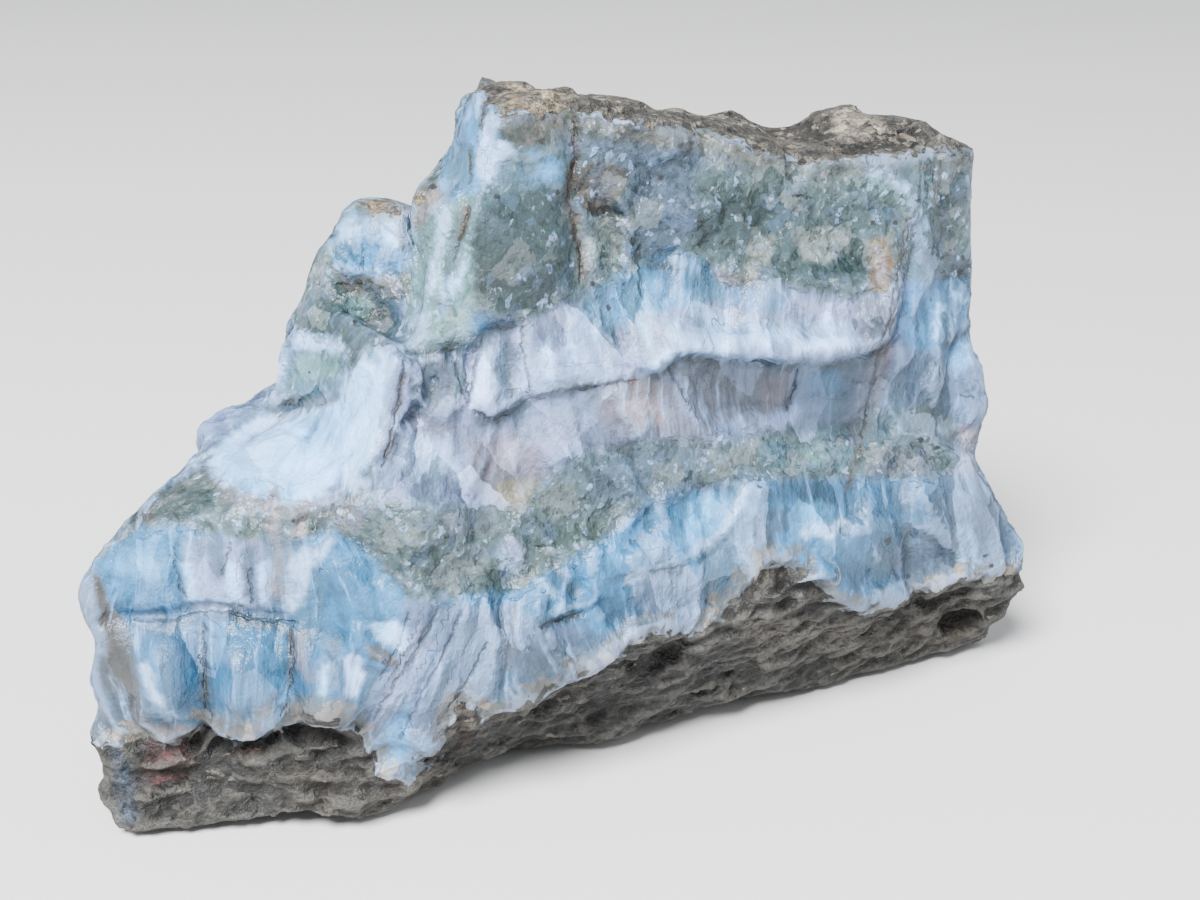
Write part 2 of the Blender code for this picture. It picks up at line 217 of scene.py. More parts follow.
# The skin as the photograph shows it: each point's place in pixels, and whether it is seen there
class Sketch:
    def __init__(self, skin):
        eye, right, up, back = viewAxes()
        away = skin.spots * mm - eye
        depth = -(away @ back)
        x = photoView["width"] / 2 + photoView["focal"] * (away @ right) / depth
        y = photoView["height"] / 2 - photoView["focal"] * (away @ up) / depth
        self.place = np.stack((x, y), axis=1)
        ways = away / np.linalg.norm(away, axis=1)[:, None]
        toEye = -np.sum(ways * skin.facing, axis=1)
        self.seen = skin.eased(smoothStep(0.04, 0.22, toEye) * self.open(skin, eye, away, ways), 8)
        self.rim = skin.eased(smoothStep(0.30, 0.10, np.abs(toEye)), 3)  # where the outline runs
        self.pixel = depth / photoView["focal"] / mm  # millimetres to the pixel

    # Nothing stands between the eye and the point
    def open(self, skin, eye, away, ways, slack=0.0006):
        shape = bmesh.new()
        shape.from_mesh(skin.mesh)
        tree = BVHTree.FromBMesh(shape)
        shape.free()
        clear = np.ones(skin.count)
        start = Vector(eye)
        for index in np.nonzero(np.sum(ways * skin.facing, axis=1) < 0.1)[0]:
            span = np.linalg.norm(away[index])
            hit = tree.ray_cast(start, Vector(ways[index]), span - slack)
            clear[index] = 0.0 if hit[0] is not None else 1.0
        return clear

    # The points within reach of a path, how far each is from it, on which side (below zero is on the
    # left hand of the way the path runs), and how far along
    def near(self, path, reach, closed=False, wander=None):
        place = self.place if wander is None else self.place + wander
        corners = np.array(path, dtype=float)
        low, high = corners.min(axis=0) - reach, corners.max(axis=0) + reach
        inside = np.all((place > low) & (place < high), axis=1) & (self.seen > 0.0)
        index = np.nonzero(inside)[0]
        spot = place[index]
        ends = np.roll(corners, -1, axis=0) if closed else corners[1:]
        starts = corners if closed else corners[:-1]
        nearest = np.full(len(index), np.inf)
        side = np.ones(len(index))
        along = np.zeros(len(index))
        within = np.zeros(len(index), dtype=bool)
        for order, (start, end) in enumerate(zip(starts, ends)):
            run = end - start
            gap = spot - start
            share = np.clip((gap @ run) / (run @ run), 0.0, 1.0)
            away = np.linalg.norm(gap - share[:, None] * run, axis=1)
            cross = run[0] * gap[:, 1] - run[1] * gap[:, 0]
            closer = away < nearest
            nearest = np.where(closer, away, nearest)
            side = np.where(closer, np.sign(cross), side)
            along = np.where(closer, (order + share) / len(starts), along)
            crosses = (spot[:, 1] < start[1]) != (spot[:, 1] < end[1])
            if run[1]:
                within ^= crosses & (gap[:, 0] < gap[:, 1] / run[1] * run[0])
        if closed:
            side = np.where(within, -1.0, 1.0)
        return index, nearest, side, along

    # How deep inside an outline each point lies, in pixels; outside it is below zero
    def depthInside(self, outline, wander=None, limit=60.0):
        depth = np.full(len(self.place), -limit)
        index, away, side, _ = self.near(outline, limit, closed=True, wander=wander)
        depth[index] = np.clip(-side * away, -limit, limit)
        return depth


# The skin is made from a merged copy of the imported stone
stoneMesh = {
    "merge": 1e-6,
    "voxel": 0.00067,
    "evening": 3,  # rounds of smoothing that take the steps off
    "shownFrom": 0.08,  # faces turned at least this far towards the camera are split once more
}


def bareObject(name, mesh):
    made = bpy.data.objects.new(name, mesh)
    bpy.context.scene.collection.objects.link(made)
    return made


def appliedMesh(made):
    bpy.context.view_layer.update()
    seen = made.evaluated_get(bpy.context.evaluated_depsgraph_get())
    mesh = bpy.data.meshes.new_from_object(seen)
    bpy.data.objects.remove(made, do_unlink=True)
    return mesh


def fineMesh():
    shape = bmesh.new()
    shape.from_mesh(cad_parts["larimar"].data)
    bmesh.ops.remove_doubles(shape, verts=shape.verts[:], dist=stoneMesh["merge"])
    whole = bpy.data.meshes.new("whole")
    shape.to_mesh(whole)
    shape.free()
    lump = bareObject("lump", whole)
    fuse = lump.modifiers.new("fuse", "REMESH")
    fuse.mode = "VOXEL"
    fuse.voxel_size = stoneMesh["voxel"]
    shape = bmesh.new()
    shape.from_mesh(appliedMesh(lump))
    for _ in range(stoneMesh["evening"]):
        bmesh.ops.smooth_vert(
            shape, verts=shape.verts[:], factor=0.5, use_axis_x=True, use_axis_y=True, use_axis_z=True
        )
    shape.normal_update()
    eye = Vector(viewAxes()[0])
    edges = set()
    for face in shape.faces:
        toEye = (eye - face.calc_center_median()).normalized()
        if toEye.dot(face.normal) > stoneMesh["shownFrom"]:
            edges.update(face.edges)
    bmesh.ops.subdivide_edges(shape, edges=list(edges), cuts=1, use_grid_fill=True)
    bmesh.ops.triangulate(shape, faces=shape.faces[:])
    bmesh.ops.recalc_face_normals(shape, faces=shape.faces[:])
    fine = bpy.data.meshes.new("larimarSkin")
    shape.to_mesh(fine)
    shape.free()
    return fine


# Layers of the stone, as heights over the ground in millimetres along its length. They hold all round.
layers = {
    "foot": (
        (-43, 11.0), (-32, 8.5), (-20, 8.5), (-11, 9.5), (0, 13.0), (8, 14.5), (15, 16.0), (20, 11.5), (43, 10.5),
    ),
    "blue": ((-43, 26.0), (-20, 22.0), (-5, 21.5), (10, 26.0), (25, 25.5), (43, 24.0)),
    "green": ((-43, 30.0), (-22, 28.0), (-5, 29.0), (10, 31.0), (25, 29.5), (43, 29.0)),
    "lilac": ((-43, 40.0), (-18, 38.0), (-6, 42.0), (8, 44.5), (25, 43.0), (43, 41.5)),
    "cap": ((-43, 47.0), (-22, 48.5), (-12, 55.5), (-2, 56.0), (8, 53.5), (18, 50.5), (43, 49.0)),
}


layerWave = {"busy": (0.07, 0.07, 0.02), "tall": 1.6}


# How far each point is over a layer's level, in millimetres
def levelOf(skin, layer):
    along, level = np.array(layers[layer], dtype=float).T
    wave = cloudy(skin.spots * np.array(layerWave["busy"]), seeds["layers"], 3) * layerWave["tall"]
    return skin.spots[:, 2] - np.interp(skin.spots[:, 0], along, level) + wave


# Outlines in the photograph's pixels of what the stone is made of there
grounds = {
    "foot matrix": [
        (40, 760), (128, 744), (150, 736), (172, 748), (192, 736), (206, 722), (222, 732), (240, 742), (258, 736),
        (276, 722), (296, 714), (332, 720), (352, 722), (368, 746), (380, 780), (404, 790), (428, 776), (444, 750),
        (455, 705), (470, 702), (482, 722), (520, 711), (542, 692), (572, 681), (600, 667), (628, 643), (652, 632),
        (700, 636), (722, 610), (750, 586), (762, 566), (798, 565), (818, 580), (836, 606), (862, 618), (900, 606),
        (940, 591), (965, 581), (1000, 580), (1080, 570), (1080, 880), (40, 880),
    ],
    "cap matrix": [
        (440, 60), (486, 84), (500, 114), (540, 118), (576, 112), (640, 122), (682, 128), (722, 134), (746, 143),
        (766, 153), (792, 160), (860, 161), (934, 151), (962, 152), (1000, 150), (1000, 60),
    ],
    "shoulder matrix": [(352, 190), (430, 186), (412, 212), (400, 218), (378, 216), (366, 208)],
    "green above": [
        (486, 112), (575, 113), (640, 122), (720, 134), (790, 160), (860, 160), (906, 186), (912, 206), (902, 262),
        (892, 292), (868, 290), (846, 297), (802, 284), (760, 279), (722, 280), (702, 262), (672, 252), (640, 262),
        (632, 278), (604, 290), (582, 287), (560, 302), (526, 322), (482, 328), (474, 346), (432, 352), (404, 352),
        (400, 330), (412, 290), (416, 240), (440, 205), (468, 180), (478, 150),
    ],
    "green at the right": [
        (938, 150), (975, 150), (968, 186), (982, 226), (980, 282), (936, 282), (924, 232), (918, 200), (926, 166),
    ],
    "green middle": [
        (150, 504), (200, 464), (240, 484), (300, 503), (380, 508), (470, 506), (520, 506), (560, 462), (592, 448),
        (660, 440), (720, 442), (766, 428), (800, 442), (862, 444), (930, 440), (962, 462), (950, 478), (862, 480),
        (800, 472), (740, 482), (690, 486), (650, 506), (618, 518), (600, 540), (560, 566), (520, 592), (440, 602),
        (404, 592), (372, 552), (334, 520), (310, 536), (280, 540), (250, 532), (210, 522), (168, 526), (140, 532),
    ],
    "shoulder green": [
        (322, 262), (345, 268), (400, 276), (412, 300), (404, 330), (392, 346), (352, 352), (318, 336), (296, 330),
        (302, 296),
    ],
}


# How green and grainy the ground is all round
def greenBehind(skin):
    lower = smoothStep(-0.6, 0.6, levelOf(skin, "blue")) * smoothStep(0.6, -0.6, levelOf(skin, "green"))
    return np.maximum(lower, smoothStep(-0.8, 0.8, levelOf(skin, "lilac")))


# How the edges of the grounds run: the shift of the drawn ones in pixels, how level the cap's matrix lies,
# how soft green is at its edge, and how far from its edge matrix is told, in millimetres
groundEdge = {"size": 14.0, "shift": 6.0, "capLevel": 0.45, "capFade": 6.0, "greenSoft": 13.0, "reach": 3.0}


# Where matrix is, in millimetres from its edge, and how far the ground is green and grainy
def groundOf(skin, sketch):
    wander = wandering(skin, groundEdge["size"], groundEdge["shift"], seeds["grounds"])
    foot, cap = -levelOf(skin, "foot"), levelOf(skin, "cap")
    cap = np.minimum(cap, (skin.eased(skin.facing, 6)[:, 2] - groundEdge["capLevel"]) * groundEdge["capFade"])
    behind = np.maximum(foot, cap)
    shown = np.full(skin.count, -60.0)
    for name in ("foot matrix", "cap matrix", "shoulder matrix"):
        shown = np.maximum(shown, sketch.depthInside(grounds[name], wander))
    matrix = behind * (1.0 - sketch.seen) + shown * sketch.pixel * sketch.seen
    greenShown = np.zeros(skin.count)
    soft, reach = groundEdge["greenSoft"], groundEdge["reach"]
    for name in ("green above", "green at the right", "green middle", "shoulder green"):
        greenShown = np.maximum(greenShown, smoothStep(-soft, soft, sketch.depthInside(grounds[name], wander)))
    green = greenBehind(skin) * (1.0 - sketch.seen) + greenShown * sketch.seen
    return np.clip(matrix, -reach, reach), green


# A small shift of each place, so that no drawn edge runs smooth: its size and amount are in pixels
def wandering(skin, size, amount, seed):
    places = skin.spots * (pixelsToMm / size)
    return np.stack([cloudy(places, seed + 7 * side, 3) * amount for side in (0, 1)], axis=1)


# From 0 at both ends of a path to 1, over a share of its length
def tipsOf(along, share):
    return smoothStep(0.0, share, along) * smoothStep(1.0, 1.0 - share, along)


# Relief drawn on the photograph's side. Widths are in pixels, depths in millimetres.
cracks = {
    "nose seam": (8, 0.54, [(136, 621), (165, 622), (200, 613), (232, 612), (250, 618), (296, 624)]),
    "nose left crack": (6, 0.36, [(203, 622), (204, 660), (206, 700), (212, 722)]),
    "nose right crack": (7, 0.42, [(290, 626), (294, 660), (290, 690), (282, 715)]),
    "nose streak": (6, 0.24, [(172, 545), (178, 575), (186, 600)]),
    "nose thin wedge": (6, 0.24, [(250, 568), (252, 604)]),
    "nose upper wedge": (6, 0.18, [(232, 540), (222, 575)]),
    "grooves, first": (9, 0.36, [(440, 606), (424, 640), (400, 676), (372, 722)]),
    "grooves, second": (7, 0.27, [(462, 610), (446, 650), (420, 700), (398, 740)]),
    "grooves, third": (6, 0.21, [(410, 612), (398, 648), (380, 680)]),
    "grooves, fourth": (6, 0.21, [(486, 640), (472, 676), (446, 712)]),
    "tower groove": (6, 0.36, [(573, 108), (575, 160), (567, 200), (580, 250), (582, 286)]),
    "wedge foot": (8, 0.36, [(404, 362), (400, 400), (392, 436), (382, 466)]),
    "first seam, left": (6, 0.21, [
        (473, 412), (490, 419), (510, 413), (527, 400), (560, 391), (600, 386), (636, 380),
    ]),
    "second seam, left": (7, 0.36, [(540, 627), (556, 619), (581, 612)]),
    "second seam, right": (5, 0.3, [(649, 571), (668, 568), (686, 564)]),
    "right crease": (8, 0.36, [(905, 232), (898, 280), (890, 318), (880, 352), (868, 400), (862, 440)]),
    "right bulge crack": (4, 0.24, [(958, 395), (966, 396), (976, 399)]),
    "right column": (6, 0.3, [(921, 160), (920, 200), (912, 240), (906, 280)]),
    "right block": (6, 0.36, [(936, 158), (936, 206), (950, 210)]),
    "crack by the drape": (5, 0.24, [(470, 206), (462, 236), (452, 262)]),
    "line on the flank": (4, 0.18, [(484, 108), (480, 130)]),
    "second line on the flank": (4, 0.18, [(469, 150), (470, 175)]),
    "recess divider": (7, 0.3, [(797, 368), (793, 392), (786, 412)]),
    "pink facet edge": (6, 0.24, [(668, 368), (684, 394), (698, 420)]),
    "slit in the cap": (4, 0.24, [(793, 197), (815, 197)]),
    "fan line, first": (5, 0.18, [(484, 338), (474, 374), (470, 402)]),
    "fan line, second": (5, 0.18, [(521, 326), (524, 356), (532, 392)]),
    "fan line, third": (5, 0.18, [(452, 350), (458, 380), (470, 406)]),
}

# Steps of the surface: raised on the left hand of the way the path runs, by a height in millimetres that
# dies away over so many pixels
ledges = {
    "first lip": (1.9, 30, [(640, 378), (660, 367), (675, 353), (740, 358), (810, 362), (866, 357)]),
    "first lip, left": (0.5, 40, [
        (470, 414), (492, 420), (512, 414), (528, 400), (560, 391), (600, 386), (640, 378),
    ]),
    "flake on the lip": (0.3, 16, [(790, 350), (815, 346), (840, 350)]),
    "second lip, left": (0.7, 34, [(560, 590), (548, 604), (545, 624), (560, 618), (584, 611), (620, 592)]),
    "second lip, right": (0.8, 44, [(610, 584), (650, 570), (688, 563), (704, 552), (726, 530), (742, 512)]),
    "foot lip, far": (0.9, 34, [
        (480, 722), (520, 712), (545, 692), (600, 668), (630, 643), (652, 632), (700, 636),
    ]),
    "foot lip, peak": (0.5, 30, [(700, 636), (722, 610), (750, 586), (762, 567), (796, 564)]),
    "foot lip, right": (0.7, 30, [(850, 618), (900, 606), (940, 592), (966, 582)]),
    "tooth lip, left": (1.2, 30, [(140, 700), (150, 728), (172, 750), (192, 740), (206, 722)]),
    "tooth lip, middle": (1.2, 30, [(206, 720), (222, 735), (257, 742), (276, 728), (290, 712)]),
    "tooth lip, right": (0.8, 26, [(294, 720), (330, 727), (352, 724), (366, 690)]),
    "white block": (1.3, 24, [(396, 664), (366, 642), (362, 622)]),
    "bright patch": (0.5, 16, [(346, 700), (344, 660), (360, 650)]),
    "worn patch, right": (0.9, 26, [(622, 280), (634, 262), (628, 215), (620, 190)]),
    "worn patch, left": (0.5, 20, [(566, 196), (580, 250), (582, 284)]),
    "nose bright edge": (0.5, 26, [(334, 520), (316, 548), (300, 566), (300, 612)]),
    "drape edge": (0.8, 40, [(408, 356), (440, 350), (474, 346), (482, 328), (526, 322)]),
    "right crease side": (0.45, 34, [(862, 440), (870, 400), (882, 352), (896, 300), (906, 240), (914, 206)]),
    "right fold": (0.6, 24, [(936, 350), (950, 338), (966, 330)]),
    "green plate": (0.2, 20, [(640, 262), (672, 250), (706, 262), (740, 276), (790, 282), (846, 297), (890, 290)]),
    "pale crystal": (0.5, 14, [(498, 548), (508, 566), (522, 566), (520, 548), (510, 536)]),
    "cap rim": (0.5, 22, [(792, 160), (766, 152), (746, 142), (722, 133), (682, 127), (640, 121), (576, 111)]),
    "cap rim, right": (0.5, 22, [(934, 152), (860, 161), (792, 160)]),
    "shoulder lip": (0.8, 26, [(412, 290), (392, 282), (352, 270), (336, 262)]),
    "shoulder second lip": (0.7, 24, [(352, 350), (320, 338), (292, 336)]),
    "shoulder foot": (0.4, 24, [(262, 416), (296, 408), (338, 398), (352, 380)]),
    "ledge end": (0.6, 24, [(214, 462), (240, 486), (300, 506), (336, 500)]),
    "recess edge": (0.8, 26, [(412, 362), (414, 396), (420, 416), (452, 416), (470, 404)]),
}

# Rounded swellings, and hollows where the height is below zero: radius in pixels, height, path
swells = {
    "left tooth": (36, 1.8, [(168, 665), (172, 690)]),
    "middle tooth": (44, 1.9, [(248, 665), (250, 690)]),
    "right tooth": (36, 1.5, [(328, 670), (330, 695)]),
    "nose brow, left": (26, 0.5, [(130, 575), (160, 580)]),
    "nose brow, right": (34, 0.5, [(345, 580), (370, 610)]),
    "shoulder bulge": (34, 0.9, [(376, 246), (382, 256)]),
    "right bulge": (26, 0.6, [(962, 380), (966, 410)]),
    "bright facet": (30, -0.5, [(708, 505), (704, 540)]),
    "chip by the fan": (22, -0.4, [(575, 590), (600, 600)]),
    "left recess": (24, -0.7, [(432, 385), (440, 400)]),
    "lip recess, left": (44, -0.7, [(720, 396), (765, 398)]),
    "lip recess, right": (40, -0.8, [(815, 402), (845, 400)]),
    "shade under the lip": (20, -0.6, [(800, 430), (855, 426)]),
    "worn patch gap": (7, -0.4, [(600, 217), (626, 220)]),
    "worn patch hollow": (16, -0.15, [(590, 190), (610, 200)]),
    "gap under the left tooth": (13, -2.0, [(192, 748), (214, 736)]),
    "gap under the middle tooth": (13, -2.0, [(226, 756), (274, 748)]),
    "gap under the right tooth": (11, -1.5, [(296, 740), (344, 742)]),
    "slot in the foot": (6, -1.3, [(300, 812), (330, 808)]),
    "lip over the slot": (6, 0.8, [(300, 803), (334, 799)]),
    "hole in the foot": (12, -2.0, [(948, 632), (966, 628)]),
    "pit in the foot": (11, -1.0, [(658, 650), (676, 654)]),
    "second pit in the foot": (9, -0.9, [(655, 664), (668, 662)]),
    "third pit in the foot": (8, -0.8, [(628, 672), (640, 666)]),
    "peak hollow": (14, -0.9, [(780, 588), (812, 590)]),
    "second hollow": (10, -0.7, [(905, 604), (912, 602)]),
    "tower corner": (16, -1.4, [(476, 82), (490, 75)]),
    "brown pits": (8, -0.7, [(462, 706), (464, 740)]),
}

# Flat facets, as outlines in pixels; what lies inside is pressed towards one plane
facets = {
    "white block": [(368, 626), (398, 622), (400, 660), (370, 645)],
    "green facet on the shoulder": [(292, 350), (344, 352), (338, 390), (286, 394)],
    "shoulder white facet": [(378, 224), (402, 222), (418, 246), (390, 246)],
    "lip recess, left": [(686, 364), (792, 368), (784, 412), (706, 412)],
    "lip recess, right": [(800, 370), (862, 364), (862, 424), (800, 424)],
    "bright facet": [(690, 492), (738, 492), (726, 530), (690, 558)],
    "fan facet": [(486, 330), (520, 328), (530, 388), (500, 412), (472, 410)],
    "second fan facet": [(526, 326), (560, 306), (598, 380), (536, 396)],
    "pink facet": [(600, 390), (664, 370), (694, 424), (620, 436)],
    "lilac facet": [(520, 408), (586, 394), (596, 430), (560, 462), (530, 440)],
    "slate facet": [(742, 508), (786, 506), (786, 552), (744, 560)],
    "nose low facet": [(216, 640), (284, 640), (286, 680), (250, 690), (222, 672)],
    "groove facet": [(442, 604), (470, 606), (452, 650), (426, 650)],
    "flank facet": [(458, 118), (480, 96), (480, 140), (452, 176)],
    "crystal": [(498, 544), (512, 536), (524, 552), (520, 568), (506, 564)],
    "right facet": [(944, 300), (966, 296), (964, 330), (940, 346)],
    "brow facet": [(300, 566), (340, 540), (366, 562), (352, 606), (304, 612)],
}

# Fans of fibres: the root they spread from, and places that belong to them, all in pixels
fans = {
    "upper left": ((505, 240), [(480, 366), (505, 380), (530, 360)]),
    "upper second": ((540, 200), [(560, 345), (585, 360)]),
    "upper third": ((590, 140), [(620, 330), (640, 350)]),
    "upper middle": ((690, 120), [(680, 310), (700, 320)]),
    "upper fourth": ((745, 150), [(745, 320)]),
    "upper fifth": ((800, 160), [(795, 320)]),
    "upper right": ((860, 180), [(850, 320), (875, 320)]),
    "lilac": ((500, 300), [(540, 430), (570, 430), (500, 440)]),
    "lilac left": ((470, 300), [(430, 400), (440, 450), (410, 480)]),
    "pink": ((640, 300), [(640, 400), (670, 420)]),
    "recess left": ((740, 240), [(740, 390)]),
    "recess right": ((830, 260), [(830, 395)]),
    "right upper": ((935, 420), [(930, 300), (955, 310), (940, 240)]),
    "right lower": ((940, 300), [(955, 400), (925, 410), (900, 390)]),
    "right low": ((930, 380), [(965, 500), (990, 540), (950, 560)]),
    "blue first": ((590, 420), [(600, 560), (560, 590), (530, 610)]),
    "blue second": ((650, 400), [(650, 530)]),
    "blue third": ((700, 400), [(708, 525)]),
    "blue fourth": ((770, 400), [(770, 520)]),
    "blue fifth": ((850, 380), [(850, 540), (900, 540)]),
    "low first": ((620, 760), [(590, 640), (560, 650), (620, 630)]),
    "low second": ((670, 720), [(680, 600), (660, 600), (710, 595)]),
    "low left": ((560, 480), [(480, 640), (500, 680)]),
    "grooves": ((560, 420), [(430, 640), (400, 700), (410, 740), (450, 700)]),
    "nose left": ((150, 400), [(140, 575)]),
    "nose middle": ((235, 380), [(200, 575), (240, 575)]),
    "nose right": ((300, 400), [(285, 575), (330, 590), (370, 610)]),
    "left tooth": ((175, 860), [(165, 680)]),
    "middle tooth": ((245, 900), [(245, 680)]),
    "right tooth": ((320, 880), [(320, 680), (350, 680)]),
    "wedge": ((420, 240), [(370, 410), (390, 400), (350, 440)]),
    "white ledge": ((420, 330), [(280, 450), (240, 450), (320, 440)]),
    "flank": ((470, -140), [(465, 150), (490, 130)]),
    "drape": ((450, 20), [(430, 280), (450, 320)]),
}


# Coordinates along and across the fibres, in millimetres, so that a stretched pattern follows them.
# Each fan bends the picture's own grid, and neighbouring fans flow into each other.
def fibreGrid(skin, sketch, flow=22.0):
    wander = wandering(skin, 20.0, 6.0, seeds["fibres"])
    gaps, acrossAll, alongAll = [], [], []
    for root, seats in fans.values():
        toPlace = sketch.place - np.array(root, dtype=float)
        middle = np.mean(np.array(seats, dtype=float), axis=0) - root
        span = np.linalg.norm(middle)
        turned = np.arctan2(toPlace[:, 1] * middle[0] - toPlace[:, 0] * middle[1], toPlace @ middle)
        down = np.sign(middle[1])
        acrossAll.append(root[0] + middle[0] - down * turned * span)
        alongAll.append(root[1] + down * np.linalg.norm(toPlace, axis=1))
        away = [np.linalg.norm(sketch.place + wander - np.array(seat, dtype=float), axis=1) for seat in seats]
        gaps.append(np.min(away, axis=0))
    gaps = np.array(gaps)
    weight = np.exp((gaps.min(axis=0) - gaps) / flow)
    weight /= weight.sum(axis=0)
    across = (weight * np.array(acrossAll)).sum(axis=0)
    along = (weight * np.array(alongAll)).sum(axis=0)
    x = (across - photoView["width"] / 2) / pixelsToMm
    z = (photoView["height"] / 2 - along) / pixelsToMm + photoView["aim"][2] / mm
    shown = np.stack((x, np.zeros(skin.count), z), axis=1)
    share = sketch.seen[:, None]
    return shown * share + skin.spots * (1.0 - share)


drawnShift = (12.0, 3.0, seeds["drawing"])  # how drawn lines wander: size and amount in pixels, and seed


# The height that the drawn cracks, ledges, swellings and hollows give each point, in millimetres
def drawnRelief(skin, sketch):
    height = np.zeros(skin.count)
    wander = wandering(skin, *drawnShift)
    for width, deep, path in cracks.values():
        index, away, _, along = sketch.near(path, width, wander=wander)
        depth = deep * (0.35 + 0.65 * tipsOf(along, 0.15))
        height[index] -= depth * smoothStep(width, 0.0, away) * sketch.seen[index]
    for tall, run, path in ledges.values():
        index, away, side, along = sketch.near(path, run, wander=wander)
        rise = np.where(side < 0.0, smoothStep(run, 0.0, away), 0.0)
        height[index] += tall * rise * sketch.seen[index] * tipsOf(along, 0.16)
    for radius, tall, path in swells.values():
        index, away, _, _ = sketch.near(path, radius)
        height[index] += tall * smoothStep(radius, 0.0, away) * sketch.seen[index]
    return height


# How far each point is from the nearest crack, in millimetres with a sign for its side, and how dark
# the crack is there; then how far it is inside the nearest small dark spot
def cracksAndSpots(skin, sketch, reach=16.0, nothing=2.0):
    wander = wandering(skin, *drawnShift)
    line = np.full(skin.count, nothing)
    dark = np.zeros(skin.count)
    spot = np.full(skin.count, nothing)
    for _, _, path in cracks.values():
        index, away, side, along = sketch.near(path, reach, wander=wander)
        distance = away * sketch.pixel[index]
        closer = distance < np.abs(line[index])
        index = index[closer]
        line[index] = (side * distance)[closer]
        dark[index] = ((along > 0.0) & (along < 1.0))[closer]
    for size, places in spots.values():
        for place in places:
            index, away, _, _ = sketch.near([place, (place[0] + 0.5, place[1])], reach)
            spot[index] = np.minimum(spot[index], (away - size) * sketch.pixel[index])
    hidden = sketch.seen < 0.5
    dark[hidden] = 0.0
    spot[hidden] = nothing
    return line, dark, spot


# Each drawn facet's points are pressed towards the plane that fits them best
def pressFacets(skin, sketch, strength=0.8, margin=6.0):
    for outline in facets.values():
        deep = sketch.depthInside(outline, limit=margin)
        share = smoothStep(-margin, margin * 0.3, deep) * (sketch.seen > 0.5) * strength
        chosen = share > 0.5 * strength
        if chosen.sum() < 12:  # too few to tell the plane
            continue
        middle = skin.spots[chosen].mean(axis=0)
        across = np.linalg.svd(skin.spots[chosen] - middle, full_matrices=False)[2][2]
        off = (skin.spots - middle) @ across
        skin.spots = skin.spots - (across * (off * share)[:, None])
    skin.turn()


# Hollows are told near by and from far: rounds of evening out, and the depth in millimetres that counts
hollows = {"near": (6, 0.10), "far": (40, 0.45)}


# How sunk or proud each point is among its neighbours, from about -1 to 1
def hollowness(skin, rounds, size):
    mean = skin.eased(skin.spots, rounds)
    return np.clip(np.sum((mean - skin.spots) * skin.facing, axis=1) / size, -1.0, 1.0)


# How rough each kind of ground is: height in millimetres and size of its grain
roughness = {
    "blocks": {"tall": 0.95, "wide": 3.0, "long": 7.0},
    "green blocks": {"tall": 0.55, "size": 4.4},
    "splinters": {"tall": 0.22, "wide": 1.5, "long": 6.0},
    "thin splinters": {"tall": 0.05, "wide": 0.8, "long": 4.0},
    "green chips": {"tall": 0.17, "size": 1.9},
    "green grain": {"tall": 0.06, "size": 0.7},
    "slabs": {"tall": 0.9, "long": 6.0, "thick": 1.5, "lean": 0.16},
    "slab bends": {"shift": 0.9, "size": 4.0},
    "slab seams": {"deep": 0.35, "wide": 0.12},
    "slab grain": {"tall": 0.30, "size": 1.3},
    "pits": {"deep": 0.45, "size": 2.0, "from": 0.25, "to": 0.75},
    "sheets": {"tall": 0.75, "thick": 1.7, "bent": 0.9, "size": 5.0},
}

# What holds the relief back: at the outline and on corners, and on the cap's matrix from low to high
restraint = {"corner": 0.8, "cap": 0.5, "low": 36.0, "high": 46.0}


# Where the ground's own relief is held back: by how much, and the outline in pixels
quiet = {
    "nose": (0.75, [
        (90, 560), (140, 530), (400, 560), (400, 640), (366, 726), (256, 742), (160, 742), (126, 700),
    ]),
    "tower front": (0.5, [(460, 130), (572, 120), (574, 290), (480, 326), (462, 290)]),
    "white ledge": (0.15, [(214, 450), (345, 396), (340, 480), (300, 502), (220, 484)]),
    "under the lip": (0.7, [(640, 372), (676, 348), (884, 344), (866, 436), (690, 436)]),
    "beside the peak": (0.8, [(812, 540), (862, 540), (870, 606), (830, 606)]),
    "grooves": (0.5, [(372, 700), (410, 600), (486, 606), (470, 690), (400, 760)]),
}


